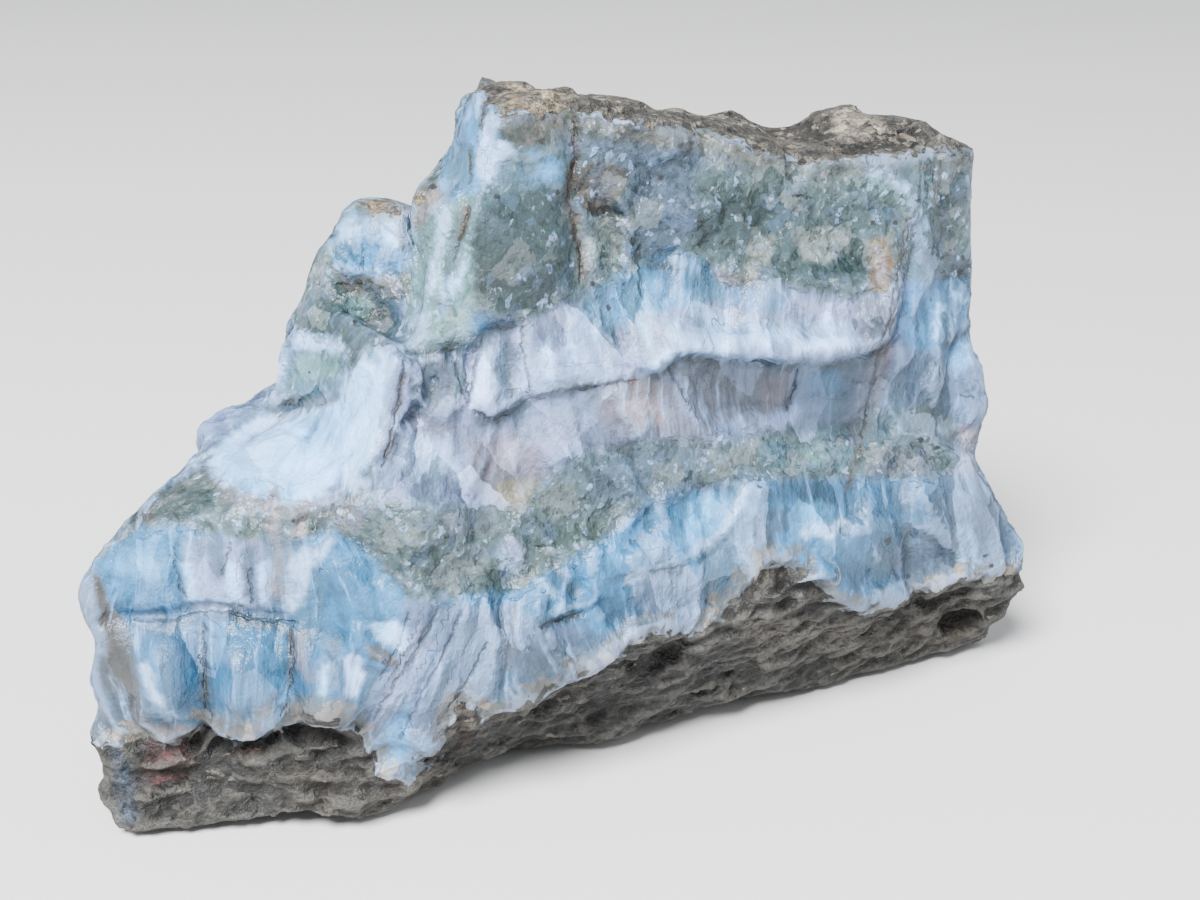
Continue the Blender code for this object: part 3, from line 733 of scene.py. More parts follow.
# The height that the kind of ground gives each point, in millimetres
def groundRelief(skin, sketch, matrix, green, fibres):
    rock = smoothStep(-0.3, 0.4, matrix)
    grainy = green * (1.0 - rock)
    silky = (1.0 - green) * (1.0 - rock)
    height = np.zeros(skin.count)
    for order, name in enumerate(("splinters", "thin splinters")):
        size = roughness[name]
        grid = fibres / np.array((size["wide"], size["wide"], size["long"]))
        height += size["tall"] * centred(scoops(grid, seeds["splinters"] + order * 5)) * silky
    blocks = roughness["blocks"]
    grid = fibres / np.array((blocks["wide"], blocks["wide"], blocks["long"]))
    height += blocks["tall"] * cellFaces(grid, seeds["blocks"])[0] * silky
    blocks, chips, grain = (roughness[name] for name in ("green blocks", "green chips", "green grain"))
    height += blocks["tall"] * cellFaces(skin.spots / blocks["size"], seeds["green blocks"])[0] * grainy
    height += chips["tall"] * centred(scoops(skin.spots / chips["size"], seeds["green chips"])) * grainy
    height += grain["tall"] * cloudy(skin.spots / grain["size"], seeds["green grain"], 3) * grainy
    slabs, bends, seams = (roughness[name] for name in ("slabs", "slab bends", "slab seams"))
    lean = slabs["lean"]
    bend = [cloudy(skin.spots / bends["size"], seeds["slab bends"] + way, 2) for way in range(3)]
    wavy = skin.spots @ np.array(((1.0, 0.0, -lean), (0.0, 1.0, 0.0), (lean, 0.0, 1.0)))
    wavy = wavy + np.stack(bend, axis=1) * bends["shift"]
    grid = wavy / np.array((slabs["long"], slabs["long"], slabs["thick"]))
    face, edge, own = cellFaces(grid, seeds["slabs"])
    height += slabs["tall"] * (face + 0.35 * (own[:, 1] - 0.5)) * rock
    height -= seams["deep"] * smoothStep(seams["wide"], 0.0, edge) * rock
    sheets, grain, pits = (roughness[name] for name in ("sheets", "slab grain", "pits"))
    level = wavy[:, 2] / sheets["thick"] + cloudy(skin.spots / sheets["size"], seeds["sheets"], 3) * sheets["bent"]
    height += sheets["tall"] * (level - np.floor(level) - 0.5) * rock
    height += grain["tall"] * cloudy(skin.spots / grain["size"], seeds["slab grain"], 3) * rock
    holes = cloudy(skin.spots / pits["size"], seeds["pits"], 2)
    height -= pits["deep"] * smoothStep(pits["from"], pits["to"], holes) * rock
    for depth, outline in quiet.values():
        height *= 1.0 - depth * smoothStep(-8.0, 8.0, sketch.depthInside(outline)) * sketch.seen
    corner = np.maximum(sketch.rim, smoothStep(0.2, 0.8, -hollowness(skin, *hollows["far"])))
    onTop = smoothStep(restraint["low"], restraint["high"], skin.spots[:, 2]) * rock
    return height * (1.0 - restraint["corner"] * corner) * (1.0 - restraint["cap"] * onTop)


# How far each point lies in a quiet outline
def stillness(skin, sketch):
    still = np.zeros(skin.count)
    for depth, outline in quiet.values():
        still = np.maximum(still, depth * smoothStep(-8.0, 8.0, sketch.depthInside(outline)) * sketch.seen)
    return still


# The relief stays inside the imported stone's box, and fills it
def fittedToBox(skin):
    low, high = skin.spots.min(axis=0), skin.spots.max(axis=0)
    wanted = (stoneHigh - stoneLow) / mm
    skin.spots = (skin.spots - low) / (high - low) * wanted + stoneLow / mm
    skin.turn()


# Pigments, as they should look in the picture: red, green and blue from 0 to 255
pigments = {
    "iceWhite": (226, 239, 248),
    "snow": (212, 225, 238),
    "lilacWhite": (194, 203, 222),
    "lilac": (174, 189, 215),
    "lilacGrey": (146, 155, 172),
    "pinkWhite": (198, 192, 200),
    "pinkGrey": (168, 164, 176),
    "iceBlue": (180, 218, 240),
    "paleBlue": (158, 202, 230),
    "skyBlue": (132, 187, 220),
    "midBlue": (108, 168, 204),
    "deepBlue": (90, 150, 188),
    "inkBlue": (82, 122, 164),
    "slateBlue": (128, 157, 184),
    "steel": (106, 128, 150),
    "blueGreen": (146, 178, 194),
    "paleGreen": (172, 197, 202),
    "greyGreen": (140, 160, 166),
    "seaGreen": (106, 134, 142),
    "teal": (82, 112, 120),
    "darkTeal": (58, 84, 92),
    "moss": (98, 104, 98),
    "paleGrey": (178, 186, 188),
    "sand": (186, 172, 154),
    "tan": (150, 147, 140),
    "brownGrey": (132, 126, 122),
    "brown": (98, 80, 68),
    "rust": (140, 92, 66),
    "red": (104, 26, 24),
    "nearBlack": (36, 34, 34),
    "rock": (88, 88, 84),
    "paleRock": (164, 158, 150),
    "whiteRock": (206, 200, 192),
    "darkRock": (58, 55, 51),
    "warmRock": (112, 100, 86),
}

studio = {
    "faceLight": 5.0,  # light on a face that the picture shows straight on
    "richness": 0.85,  # how far the colours make up for the film
    "palest": 0.96,  # no surface is paler than this
}


# The render's film look bends and dulls bright colours. These are its formula's own numbers, used
# backwards, so that a pigment comes out of the picture as it is named above.
film = {
    "wide": ((0.6274, 0.3293, 0.0433), (0.0691, 0.9195, 0.0113), (0.0164, 0.0880, 0.8956)),
    "inset": ((0.8566, 0.0951, 0.0483), (0.1373, 0.7612, 0.1014), (0.1119, 0.0768, 0.8113)),
    "outset": ((1.1271, -0.1106, -0.0165), (-0.1413, 1.1578, -0.0165), (-0.1413, -0.1106, 1.2519)),
    "stops": (-12.474, 4.026),
    "bend": (15.5, -40.14, 31.96, -6.868, 0.4298, 0.1191, -0.00232),
    "exposure": 0.8,
}


# The surface colour that gives a look, which is named in the picture's own numbers from 0 to 255
def surfaceTone(look):
    part = np.array(look, dtype=float) / 255.0
    plain = np.where(part <= 0.04045, part / 12.92, ((part + 0.055) / 1.055) ** 2.4)
    wide, inset, outset = (np.array(film[name]) for name in ("wide", "inset", "outset"))
    share = np.linspace(0.0, 1.0, 400)
    bent = np.linalg.solve(outset, (wide @ plain) ** (1.0 / 2.2))
    low, high = film["stops"]
    light = 2.0 ** (low + (high - low) * np.interp(bent, np.polyval(film["bend"], share), share))
    tone = np.linalg.solve(inset @ wide, light) / film["exposure"] / studio["faceLight"]
    tone = np.maximum(tone, 0.01) ** studio["richness"] * plain ** (1.0 - studio["richness"])
    return tone * min(1.0, studio["palest"] / tone.max())


def pigmentTone(name):
    return surfaceTone(pigments[name])


# A pigment mixed into every point's colour, by a share for each
def mixed(tone, pigment, share):
    return tone + (pigmentTone(pigment) - tone) * share[:, None]


# Washes of colour over the vein on the photograph's side: pigment, strength, softness in pixels, outline.
# Each lies over those before it.
veinWashes = [
    ("lilac", 1.0, 20, [(380, 280), (600, 270), (900, 280), (1000, 340), (1010, 500), (700, 520), (380, 520)]),
    # green-grey zone at the top, and what shows in it
    ("greyGreen", 1.0, 6, [
        (480, 100), (640, 118), (790, 150), (906, 176), (912, 262), (892, 294), (846, 299), (760, 281), (702, 264),
        (640, 264), (604, 292), (560, 304), (526, 324), (482, 330), (474, 348), (404, 354), (416, 240), (468, 180),
    ]),
    ("blueGreen", 0.7, 10, [(470, 170), (572, 140), (568, 240), (470, 246)]),
    ("teal", 0.95, 12, [(466, 246), (530, 238), (568, 244), (576, 288), (530, 312), (486, 318), (462, 286)]),
    ("teal", 0.9, 12, [(455, 216), (570, 170), (580, 290), (480, 330), (430, 340), (440, 260)]),
    ("darkTeal", 0.7, 8, [(462, 262), (500, 262), (520, 290), (480, 298)]),
    ("darkTeal", 0.6, 6, [(520, 272), (556, 266), (552, 296), (528, 302)]),
    ("moss", 0.85, 6, [(498, 116), (572, 112), (566, 140), (530, 150), (500, 146)]),
    ("midBlue", 0.5, 8, [(520, 150), (564, 150), (566, 182), (516, 186)]),
    ("paleBlue", 0.8, 5, [(530, 152), (556, 158), (560, 178), (536, 178)]),
    ("snow", 0.75, 4, [(486, 150), (508, 140), (516, 152), (492, 176), (484, 172)]),
    ("steel", 0.6, 6, [(576, 112), (600, 118), (592, 160), (578, 164)]),
    ("slateBlue", 0.9, 14, [
        (590, 134), (660, 128), (706, 142), (706, 226), (650, 262), (636, 240), (626, 180), (588, 164),
    ]),
    ("steel", 0.5, 14, [(590, 134), (706, 142), (706, 226), (650, 262), (626, 180)]),
    ("moss", 0.8, 5, [
        (578, 112), (640, 120), (700, 130), (752, 148), (790, 164), (776, 172), (720, 158), (640, 146),
        (580, 138),
    ]),
    ("seaGreen", 0.95, 10, [
        (690, 168), (760, 168), (850, 180), (896, 214), (892, 282), (846, 290), (760, 276), (704, 252),
    ]),
    ("teal", 0.7, 8, [(694, 190), (748, 178), (800, 196), (790, 230), (740, 244), (700, 232)]),
    ("teal", 0.7, 8, [(800, 256), (856, 236), (868, 286), (816, 286)]),
    ("greyGreen", 0.7, 8, [(740, 172), (800, 166), (866, 176), (900, 206), (862, 200), (800, 190), (744, 192)]),
    ("paleGreen", 0.6, 6, [(856, 162), (906, 186), (912, 200), (880, 196), (850, 178)]),
    ("paleGrey", 0.9, 2, [(800, 236), (824, 224), (846, 232), (850, 250), (828, 262), (802, 262)]),
    ("paleGrey", 0.9, 2, [(748, 240), (776, 234), (768, 268), (756, 280), (744, 276)]),
    ("tan", 0.8, 4, [(700, 274), (730, 268), (760, 276), (752, 290), (712, 292)]),
    ("sand", 0.85, 3, [(868, 240), (888, 236), (894, 262), (888, 292), (870, 290)]),
    ("pinkWhite", 0.8, 2, [(876, 254), (888, 252), (886, 284), (874, 286)]),
    # worn patch beside the groove
    ("brownGrey", 0.95, 3, [(576, 166), (604, 162), (630, 170), (622, 196), (612, 214), (586, 214), (576, 196)]),
    ("lilacGrey", 0.7, 4, [(592, 178), (618, 176), (610, 200), (590, 200)]),
    ("darkTeal", 0.95, 3, [(598, 212), (624, 194), (636, 212), (638, 262), (628, 266), (620, 236), (598, 226)]),
    ("greyGreen", 0.9, 3, [(578, 222), (600, 228), (622, 232), (630, 266), (600, 284), (582, 276), (574, 246)]),
    ("paleGrey", 0.85, 3, [(576, 214), (592, 240), (600, 282), (586, 290), (578, 250)]),
    # blue arch and the fibrous band under it
    ("midBlue", 0.9, 8, [(632, 284), (640, 262), (672, 248), (706, 262), (722, 286), (680, 300), (640, 300)]),
    ("deepBlue", 0.6, 6, [(690, 268), (724, 282), (716, 300), (690, 296)]),
    ("paleBlue", 0.9, 10, [
        (590, 296), (630, 270), (690, 292), (720, 310), (700, 350), (640, 372), (596, 384), (572, 330),
    ]),
    ("lilacWhite", 0.9, 6, [
        (596, 340), (640, 318), (700, 304), (760, 290), (846, 302), (896, 300), (880, 350), (800, 348), (700, 346),
        (640, 372), (604, 384),
    ]),
    ("iceWhite", 0.55, 5, [(690, 300), (724, 316), (770, 322), (850, 322), (860, 346), (770, 350), (690, 346)]),
    ("skyBlue", 0.6, 6, [(700, 290), (740, 286), (790, 292), (786, 312), (730, 310)]),
    ("slateBlue", 0.6, 5, [(730, 344), (790, 340), (800, 350), (740, 354)]),
    ("lilacGrey", 0.6, 6, [(858, 300), (890, 296), (882, 340), (860, 344)]),
    ("skyBlue", 0.7, 8, [(470, 312), (496, 318), (486, 334), (462, 330)]),
    ("steel", 0.7, 5, [(486, 320), (520, 312), (530, 326), (500, 334)]),
    # fan of blades left of the middle
    ("lilacWhite", 0.8, 6, [
        (480, 338), (524, 328), (560, 310), (604, 330), (620, 384), (560, 392), (524, 402), (476, 410),
    ]),
    ("lilac", 0.8, 4, [(528, 330), (560, 320), (572, 384), (534, 394)]),
    ("snow", 0.7, 3, [(478, 344), (492, 342), (488, 400), (470, 408)]),
    ("slateBlue", 0.75, 4, [(498, 342), (512, 340), (516, 392), (496, 406)]),
    # painted shade: lilac-grey in the recess beside the wedge
    ("lilacGrey", 0.85, 5, [(412, 362), (436, 356), (462, 366), (468, 404), (452, 416), (418, 416)]),
    ("slateBlue", 0.6, 5, [(424, 372), (446, 368), (450, 404), (428, 408)]),
    ("lilac", 0.8, 5, [
        (400, 418), (470, 414), (500, 422), (520, 408), (586, 394), (600, 430), (560, 470), (500, 500),
        (396, 500),
    ]),
    ("snow", 0.6, 8, [(400, 440), (450, 432), (460, 470), (420, 480), (396, 470)]),
    ("lilacWhite", 0.8, 4, [(526, 420), (566, 404), (586, 416), (584, 446), (556, 462), (540, 450)]),
    ("pinkGrey", 0.5, 6, [(404, 412), (440, 418), (470, 430), (440, 440), (404, 432)]),
    ("pinkWhite", 0.6, 14, [(470, 440), (520, 430), (550, 460), (540, 500), (500, 512), (470, 480)]),
    ("whiteRock", 0.85, 4, [(498, 482), (530, 476), (550, 492), (540, 510), (510, 512), (496, 500)]),
    # recess under the overhanging lip, greyed with painted shade, with a painted shadow along its floor
    ("lilacGrey", 0.9, 5, [(670, 366), (740, 362), (794, 368), (790, 404), (770, 418), (706, 420), (688, 396)]),
    ("pinkGrey", 0.6, 5, [(760, 380), (790, 372), (786, 404), (762, 414)]),
    ("slateBlue", 0.9, 4, [(798, 370), (866, 362), (862, 404), (840, 420), (800, 420)]),
    ("midBlue", 0.6, 5, [(806, 372), (840, 368), (846, 392), (812, 398)]),
    ("pinkGrey", 0.8, 12, [
        (590, 396), (620, 386), (660, 370), (684, 396), (704, 424), (690, 440), (620, 440), (596, 420),
    ]),
    ("tan", 0.45, 4, [(606, 386), (650, 378), (670, 390), (640, 402), (610, 400)]),
    ("pinkWhite", 0.6, 4, [(612, 404), (650, 396), (676, 420), (640, 432)]),
    ("brownGrey", 0.6, 4, [(690, 420), (712, 420), (716, 438), (696, 440)]),
    # painted shadow: dark teal along the floor of the recess under the lip
    ("teal", 0.9, 4, [(786, 424), (870, 420), (872, 438), (830, 446), (780, 440)]),
    # right edge
    ("lilacGrey", 0.75, 5, [
        (866, 300), (892, 296), (884, 350), (872, 400), (862, 440), (846, 440), (856, 390), (868, 350),
    ]),
    ("pinkWhite", 0.6, 4, [(880, 352), (890, 330), (894, 350), (876, 420), (866, 440)]),
    ("blueGreen", 0.8, 4, [(914, 160), (938, 156), (938, 210), (926, 280), (906, 276), (914, 210)]),
    ("teal", 0.9, 4, [(938, 154), (970, 146), (966, 176), (950, 208), (938, 208)]),
    ("seaGreen", 0.85, 5, [(932, 206), (952, 206), (964, 184), (976, 216), (980, 282), (936, 282), (926, 240)]),
    ("paleGreen", 0.6, 5, [(952, 210), (972, 206), (974, 250), (956, 256)]),
    ("paleBlue", 0.85, 6, [(902, 284), (936, 280), (972, 280), (968, 330), (944, 348), (912, 352), (896, 330)]),
    ("slateBlue", 0.5, 4, [(944, 290), (956, 286), (950, 330), (940, 340)]),
    ("slateBlue", 0.85, 6, [(886, 360), (936, 352), (966, 330), (984, 390), (980, 430), (940, 420), (896, 410)]),
    ("iceBlue", 0.6, 4, [(944, 352), (964, 338), (974, 362), (956, 376)]),
    ("greyGreen", 0.8, 6, [(862, 410), (930, 404), (966, 430), (968, 462), (900, 462), (862, 446)]),
    ("pinkWhite", 0.7, 4, [(958, 424), (982, 430), (976, 470), (990, 492), (968, 480)]),
    # green-grey zone across the middle
    ("greyGreen", 0.95, 8, [
        (136, 534), (150, 504), (200, 464), (240, 486), (300, 505), (380, 500), (470, 506), (520, 506), (560, 466),
        (592, 448), (660, 440), (720, 442), (766, 430), (862, 446), (940, 446), (962, 462), (950, 480), (862, 480),
        (740, 484), (690, 488), (650, 508), (618, 520), (600, 542), (560, 568), (520, 592), (440, 602), (404, 592),
        (372, 552), (334, 522), (280, 540), (168, 528),
    ]),
    ("slateBlue", 0.6, 12, [(560, 460), (650, 446), (700, 452), (690, 486), (640, 504), (590, 500)]),
    ("seaGreen", 0.8, 6, [(548, 466), (590, 466), (586, 500), (550, 506)]),
    ("pinkWhite", 0.5, 10, [(210, 470), (300, 500), (370, 506), (360, 530), (290, 522), (220, 500)]),
    ("lilacGrey", 0.6, 8, [(430, 506), (490, 508), (500, 530), (450, 540)]),
    ("brownGrey", 0.7, 6, [(100, 560), (118, 532), (170, 490), (206, 468), (220, 480), (180, 520), (130, 540)]),
    ("seaGreen", 0.7, 5, [(156, 508), (204, 478), (226, 492), (190, 522), (160, 526)]),
    ("seaGreen", 0.8, 4, [(280, 504), (334, 508), (336, 530), (300, 540), (282, 526)]),
    ("seaGreen", 0.85, 8, [(372, 544), (430, 540), (452, 570), (440, 604), (404, 598), (384, 570)]),
    ("teal", 0.8, 5, [(418, 562), (442, 560), (446, 590), (424, 594)]),
    ("teal", 0.85, 5, [(484, 566), (510, 572), (534, 562), (530, 586), (500, 598), (478, 590)]),
    ("seaGreen", 0.7, 5, [(500, 514), (548, 514), (560, 540), (530, 560), (516, 536)]),
    ("lilacWhite", 0.95, 2, [(498, 546), (510, 534), (524, 550), (522, 566), (506, 566)]),
    ("blueGreen", 0.8, 6, [(764, 436), (800, 444), (860, 446), (862, 476), (800, 470), (760, 462)]),
    ("paleGreen", 0.7, 2, [(800, 448), (826, 450), (824, 464), (800, 462)]),
    ("lilacGrey", 0.7, 6, [(866, 448), (930, 446), (936, 476), (870, 480)]),
    # blue band below
    ("skyBlue", 0.95, 8, [
        (520, 592), (600, 542), (650, 506), (740, 482), (862, 480), (950, 480), (1010, 545), (1012, 582), (940, 594),
        (862, 622), (830, 614), (800, 580), (760, 566), (720, 612), (650, 634), (600, 668), (540, 694), (480, 724),
        (444, 762), (380, 790), (366, 700), (402, 640), (440, 602),
    ]),
    ("midBlue", 0.7, 10, [(520, 600), (560, 572), (620, 540), (640, 560), (600, 600), (560, 620)]),
    ("paleBlue", 0.8, 8, [(600, 550), (650, 516), (690, 500), (690, 556), (640, 568), (590, 590)]),
    ("iceBlue", 0.85, 4, [(688, 494), (736, 494), (726, 528), (700, 552), (684, 546)]),
    ("deepBlue", 0.75, 4, [(640, 500), (690, 486), (690, 498), (644, 514)]),
    ("deepBlue", 0.9, 5, [(592, 600), (616, 592), (646, 604), (636, 624), (604, 626)]),
    ("inkBlue", 0.5, 5, [(600, 604), (626, 600), (630, 620), (606, 622)]),
    ("lilac", 0.75, 8, [(500, 610), (560, 626), (590, 630), (560, 660), (520, 680), (490, 660)]),
    ("lilac", 0.75, 6, [(640, 574), (690, 568), (720, 580), (700, 626), (656, 624), (630, 600)]),
    ("slateBlue", 0.7, 6, [(560, 640), (620, 630), (610, 656), (560, 684), (500, 706), (520, 680)]),
    ("slateBlue", 0.8, 6, [
        (700, 556), (730, 530), (760, 520), (790, 540), (790, 562), (750, 566), (720, 604), (704, 610),
    ]),
    ("steel", 0.7, 4, [(742, 510), (786, 508), (786, 550), (748, 558)]),
    ("deepBlue", 0.8, 6, [(740, 484), (800, 480), (850, 484), (850, 506), (800, 500), (750, 506)]),
    ("iceBlue", 0.8, 2, [(800, 506), (822, 500), (846, 514), (838, 532), (812, 536), (800, 524)]),
    ("skyBlue", 0.8, 3, [(776, 534), (796, 532), (794, 560), (776, 562)]),
    ("midBlue", 0.6, 10, [(830, 520), (900, 500), (930, 540), (900, 600), (840, 606)]),
    ("lilacGrey", 0.7, 8, [(900, 524), (944, 520), (952, 586), (912, 600), (888, 576)]),
    ("paleBlue", 0.7, 6, [(948, 516), (984, 520), (1000, 552), (984, 584), (954, 580)]),
    ("slateBlue", 0.6, 5, [(872, 486), (940, 484), (950, 512), (900, 512)]),
    # painted shade: slate over the right third, which turns away from the light, and over the lower blue, which
    # faces down
    ("slateBlue", 0.55, 16, [(830, 500), (900, 486), (990, 520), (1004, 580), (940, 596), (860, 620), (826, 600)]),
    ("slateBlue", 0.5, 12, [(520, 600), (600, 640), (640, 630), (600, 668), (500, 716), (450, 740), (470, 660)]),
    ("midBlue", 0.5, 12, [(560, 560), (640, 560), (640, 620), (560, 620)]),
    # painted shade: steel and slate over the right end, which turns away from the light, and over the lower blue,
    # which faces down
    ("steel", 0.8, 14, [(930, 480), (1000, 490), (1030, 560), (1000, 596), (940, 592)]),
    ("steel", 0.35, 30, [(500, 640), (560, 610), (640, 640), (600, 680), (480, 720)]),
    ("steel", 0.4, 8, [(930, 150), (985, 150), (985, 290), (930, 290)]),
    ("slateBlue", 0.7, 10, [(936, 470), (985, 470), (1025, 540), (1010, 594), (942, 590)]),
    ("steel", 0.5, 8, [(955, 496), (975, 506), (988, 572), (958, 578)]),
    # slanted grooves left of the middle
    ("lilac", 0.85, 6, [
        (372, 640), (404, 600), (440, 604), (488, 610), (480, 660), (444, 716), (400, 780), (372, 772),
        (364, 700),
    ]),
    ("slateBlue", 0.75, 5, [(444, 620), (484, 620), (478, 676), (446, 726), (430, 716), (444, 670)]),
    ("lilacWhite", 0.8, 4, [(408, 640), (424, 620), (430, 640), (392, 716), (376, 730), (380, 700)]),
    ("paleBlue", 0.8, 4, [(380, 730), (410, 700), (410, 750), (384, 776), (372, 760)]),
    ("pinkGrey", 0.7, 4, [(430, 742), (456, 730), (452, 762), (432, 776)]),
    ("snow", 0.7, 3, [(376, 776), (398, 768), (408, 786), (386, 796)]),
    ("lilacGrey", 0.6, 6, [(480, 612), (520, 606), (520, 650), (492, 690), (470, 690), (480, 650)]),
    # nose
    ("skyBlue", 1.0, 6, [
        (96, 572), (112, 546), (136, 530), (170, 524), (250, 544), (285, 546), (330, 530), (366, 548), (402, 594),
        (402, 640), (366, 700), (352, 728), (290, 726), (256, 746), (205, 730), (160, 740), (138, 700), (126, 620),
    ]),
    ("lilacWhite", 0.8, 5, [
        (180, 542), (214, 536), (240, 540), (296, 544), (296, 616), (240, 612), (196, 612), (184, 590),
    ]),
    ("midBlue", 0.75, 3, [(172, 540), (182, 540), (192, 600), (180, 606), (172, 590)]),
    ("slateBlue", 0.75, 4, [(206, 536), (224, 534), (226, 574), (212, 584)]),
    ("slateBlue", 0.8, 3, [(242, 548), (256, 546), (256, 598), (250, 604), (244, 590)]),
    ("midBlue", 0.7, 4, [(262, 536), (282, 536), (284, 610), (270, 610), (272, 570)]),
    ("snow", 0.8, 3, [(226, 586), (240, 560), (244, 606), (226, 606)]),
    ("snow", 0.85, 4, [(288, 560), (306, 544), (316, 556), (306, 600), (292, 616), (284, 590)]),
    ("skyBlue", 0.8, 8, [(312, 556), (350, 540), (376, 570), (360, 616), (320, 636), (304, 616)]),
    ("deepBlue", 0.6, 6, [(316, 570), (350, 566), (344, 596), (316, 606)]),
    ("midBlue", 0.6, 6, [(104, 596), (170, 604), (170, 618), (126, 618)]),
    ("iceBlue", 0.5, 8, [(106, 562), (150, 546), (160, 576), (120, 592)]),
    ("lilac", 0.7, 6, [(136, 630), (200, 626), (202, 668), (160, 690), (140, 676)]),
    ("iceBlue", 0.8, 4, [(138, 656), (158, 640), (170, 690), (188, 716), (160, 722), (142, 694)]),
    ("paleBlue", 0.8, 5, [(212, 630), (284, 634), (286, 670), (250, 684), (218, 668)]),
    ("snow", 0.7, 3, [(222, 640), (240, 644), (240, 672), (224, 662)]),
    ("steel", 0.65, 14, [(140, 670), (210, 664), (290, 660), (360, 670), (350, 740), (150, 740)]),
    ("teal", 0.3, 20, [(130, 630), (366, 630), (366, 730), (150, 730)]),
    ("midBlue", 0.7, 20, [(120, 620), (400, 620), (400, 640), (360, 720), (150, 720)]),
    ("midBlue", 0.8, 6, [(212, 670), (250, 680), (288, 676), (276, 722), (250, 730), (216, 712)]),
    ("iceBlue", 0.7, 3, [(286, 680), (294, 700), (268, 736), (254, 744), (268, 724)]),
    ("pinkWhite", 0.8, 3, [(288, 630), (310, 630), (304, 650), (318, 680), (306, 684), (290, 654)]),
    ("deepBlue", 0.6, 6, [(300, 660), (342, 650), (346, 700), (320, 716), (298, 700)]),
    ("blueGreen", 0.7, 5, [(300, 700), (350, 700), (352, 726), (300, 722)]),
    ("snow", 0.9, 3, [(344, 658), (358, 652), (366, 672), (356, 700), (346, 694)]),
    ("iceWhite", 0.9, 3, [(366, 624), (398, 620), (402, 652), (378, 640)]),
    ("brownGrey", 0.9, 2, [(366, 646), (378, 644), (400, 660), (398, 668), (370, 660)]),
    ("slateBlue", 0.7, 4, [(364, 664), (392, 668), (380, 700), (366, 716)]),
    ("paleBlue", 0.6, 6, [(376, 570), (404, 596), (400, 616), (372, 612)]),
    ("pinkGrey", 0.8, 5, [(148, 726), (176, 724), (196, 734), (176, 752), (156, 744)]),
    # narrow side of the nose
    ("lilacGrey", 0.95, 5, [
        (80, 560), (96, 566), (112, 604), (126, 620), (134, 650), (142, 690), (160, 742), (160, 800), (120, 830),
        (90, 720), (78, 620),
    ]),
    ("brownGrey", 0.8, 5, [
        (90, 568), (104, 590), (112, 622), (128, 660), (146, 722), (128, 724), (112, 680), (92, 610),
    ]),
    ("brown", 0.7, 3, [(92, 574), (100, 578), (104, 596), (94, 592)]),
    ("brown", 0.6, 3, [(104, 600), (114, 604), (116, 622), (106, 620)]),
    ("slateBlue", 0.6, 6, [(100, 690), (124, 694), (140, 760), (130, 820), (108, 800)]),
    # white ledge, rib and shoulder at the upper left
    ("iceWhite", 0.95, 6, [
        (208, 466), (222, 440), (262, 414), (338, 396), (352, 420), (340, 478), (304, 506), (250, 492),
        (222, 484),
    ]),
    ("iceBlue", 0.6, 5, [(226, 470), (270, 480), (310, 492), (290, 504), (240, 490)]),
    ("paleBlue", 0.5, 5, [(300, 420), (334, 408), (336, 440), (306, 452)]),
    ("iceWhite", 0.9, 4, [(338, 430), (346, 380), (368, 348), (392, 352), (388, 400), (366, 470), (344, 478)]),
    ("lilac", 0.8, 4, [(388, 354), (406, 354), (410, 380), (392, 440), (378, 468), (378, 430)]),
    ("blueGreen", 0.8, 4, [(366, 350), (378, 348), (380, 362), (366, 364)]),
    ("greyGreen", 0.85, 5, [(262, 416), (270, 388), (300, 392), (342, 394), (336, 402), (280, 414)]),
    ("brownGrey", 0.7, 4, [(264, 404), (290, 396), (340, 398), (300, 412), (268, 420)]),
    ("blueGreen", 0.95, 4, [(276, 392), (294, 340), (346, 348), (344, 380), (330, 396)]),
    ("paleGreen", 0.9, 3, [(290, 384), (294, 354), (344, 352), (338, 378)]),
    ("snow", 0.8, 2, [(290, 350), (296, 336), (344, 342), (348, 352)]),
    ("seaGreen", 0.9, 4, [
        (304, 334), (322, 280), (346, 276), (400, 284), (402, 330), (390, 346), (352, 348), (318, 336),
    ]),
    ("teal", 0.6, 4, [(320, 300), (346, 290), (350, 330), (322, 330)]),
    ("paleGreen", 0.7, 3, [(348, 296), (372, 292), (370, 318), (350, 318)]),
    ("tan", 0.85, 4, [(338, 274), (360, 268), (408, 270), (410, 296), (380, 300), (344, 290)]),
    ("paleBlue", 0.9, 5, [(334, 240), (346, 212), (412, 210), (416, 262), (400, 276), (350, 274), (334, 262)]),
    ("iceWhite", 0.85, 3, [(378, 224), (402, 220), (416, 240), (396, 248), (382, 242)]),
    ("deepBlue", 0.8, 3, [(374, 242), (392, 246), (394, 264), (380, 264)]),
    ("midBlue", 0.6, 5, [(336, 244), (356, 236), (364, 264), (340, 268)]),
    ("snow", 0.7, 4, [(340, 216), (364, 216), (352, 240), (338, 240)]),
    ("sand", 0.7, 4, [(360, 204), (404, 208), (400, 222), (370, 220)]),
    # flank of the tower, and the pale drape below it
    ("paleBlue", 0.95, 5, [
        (440, 190), (446, 140), (458, 112), (472, 82), (486, 84), (500, 116), (500, 150), (482, 190),
        (450, 206),
    ]),
    ("snow", 0.8, 3, [(486, 112), (500, 120), (492, 150), (478, 176), (474, 160)]),
    ("slateBlue", 0.7, 3, [(446, 140), (466, 118), (468, 190), (448, 196)]),
    ("brownGrey", 0.9, 2, [(481, 98), (487, 98), (484, 128), (478, 130)]),
    ("brownGrey", 0.9, 2, [(467, 148), (472, 148), (473, 182), (469, 182)]),
    ("brownGrey", 0.8, 2, [(444, 132), (452, 128), (449, 150), (443, 152)]),
    ("paleGreen", 0.8, 6, [
        (412, 240), (432, 214), (462, 196), (478, 200), (470, 246), (474, 290), (470, 330), (430, 350),
        (402, 352),
    ]),
    ("greyGreen", 0.8, 3, [(442, 246), (458, 242), (456, 272), (446, 278)]),
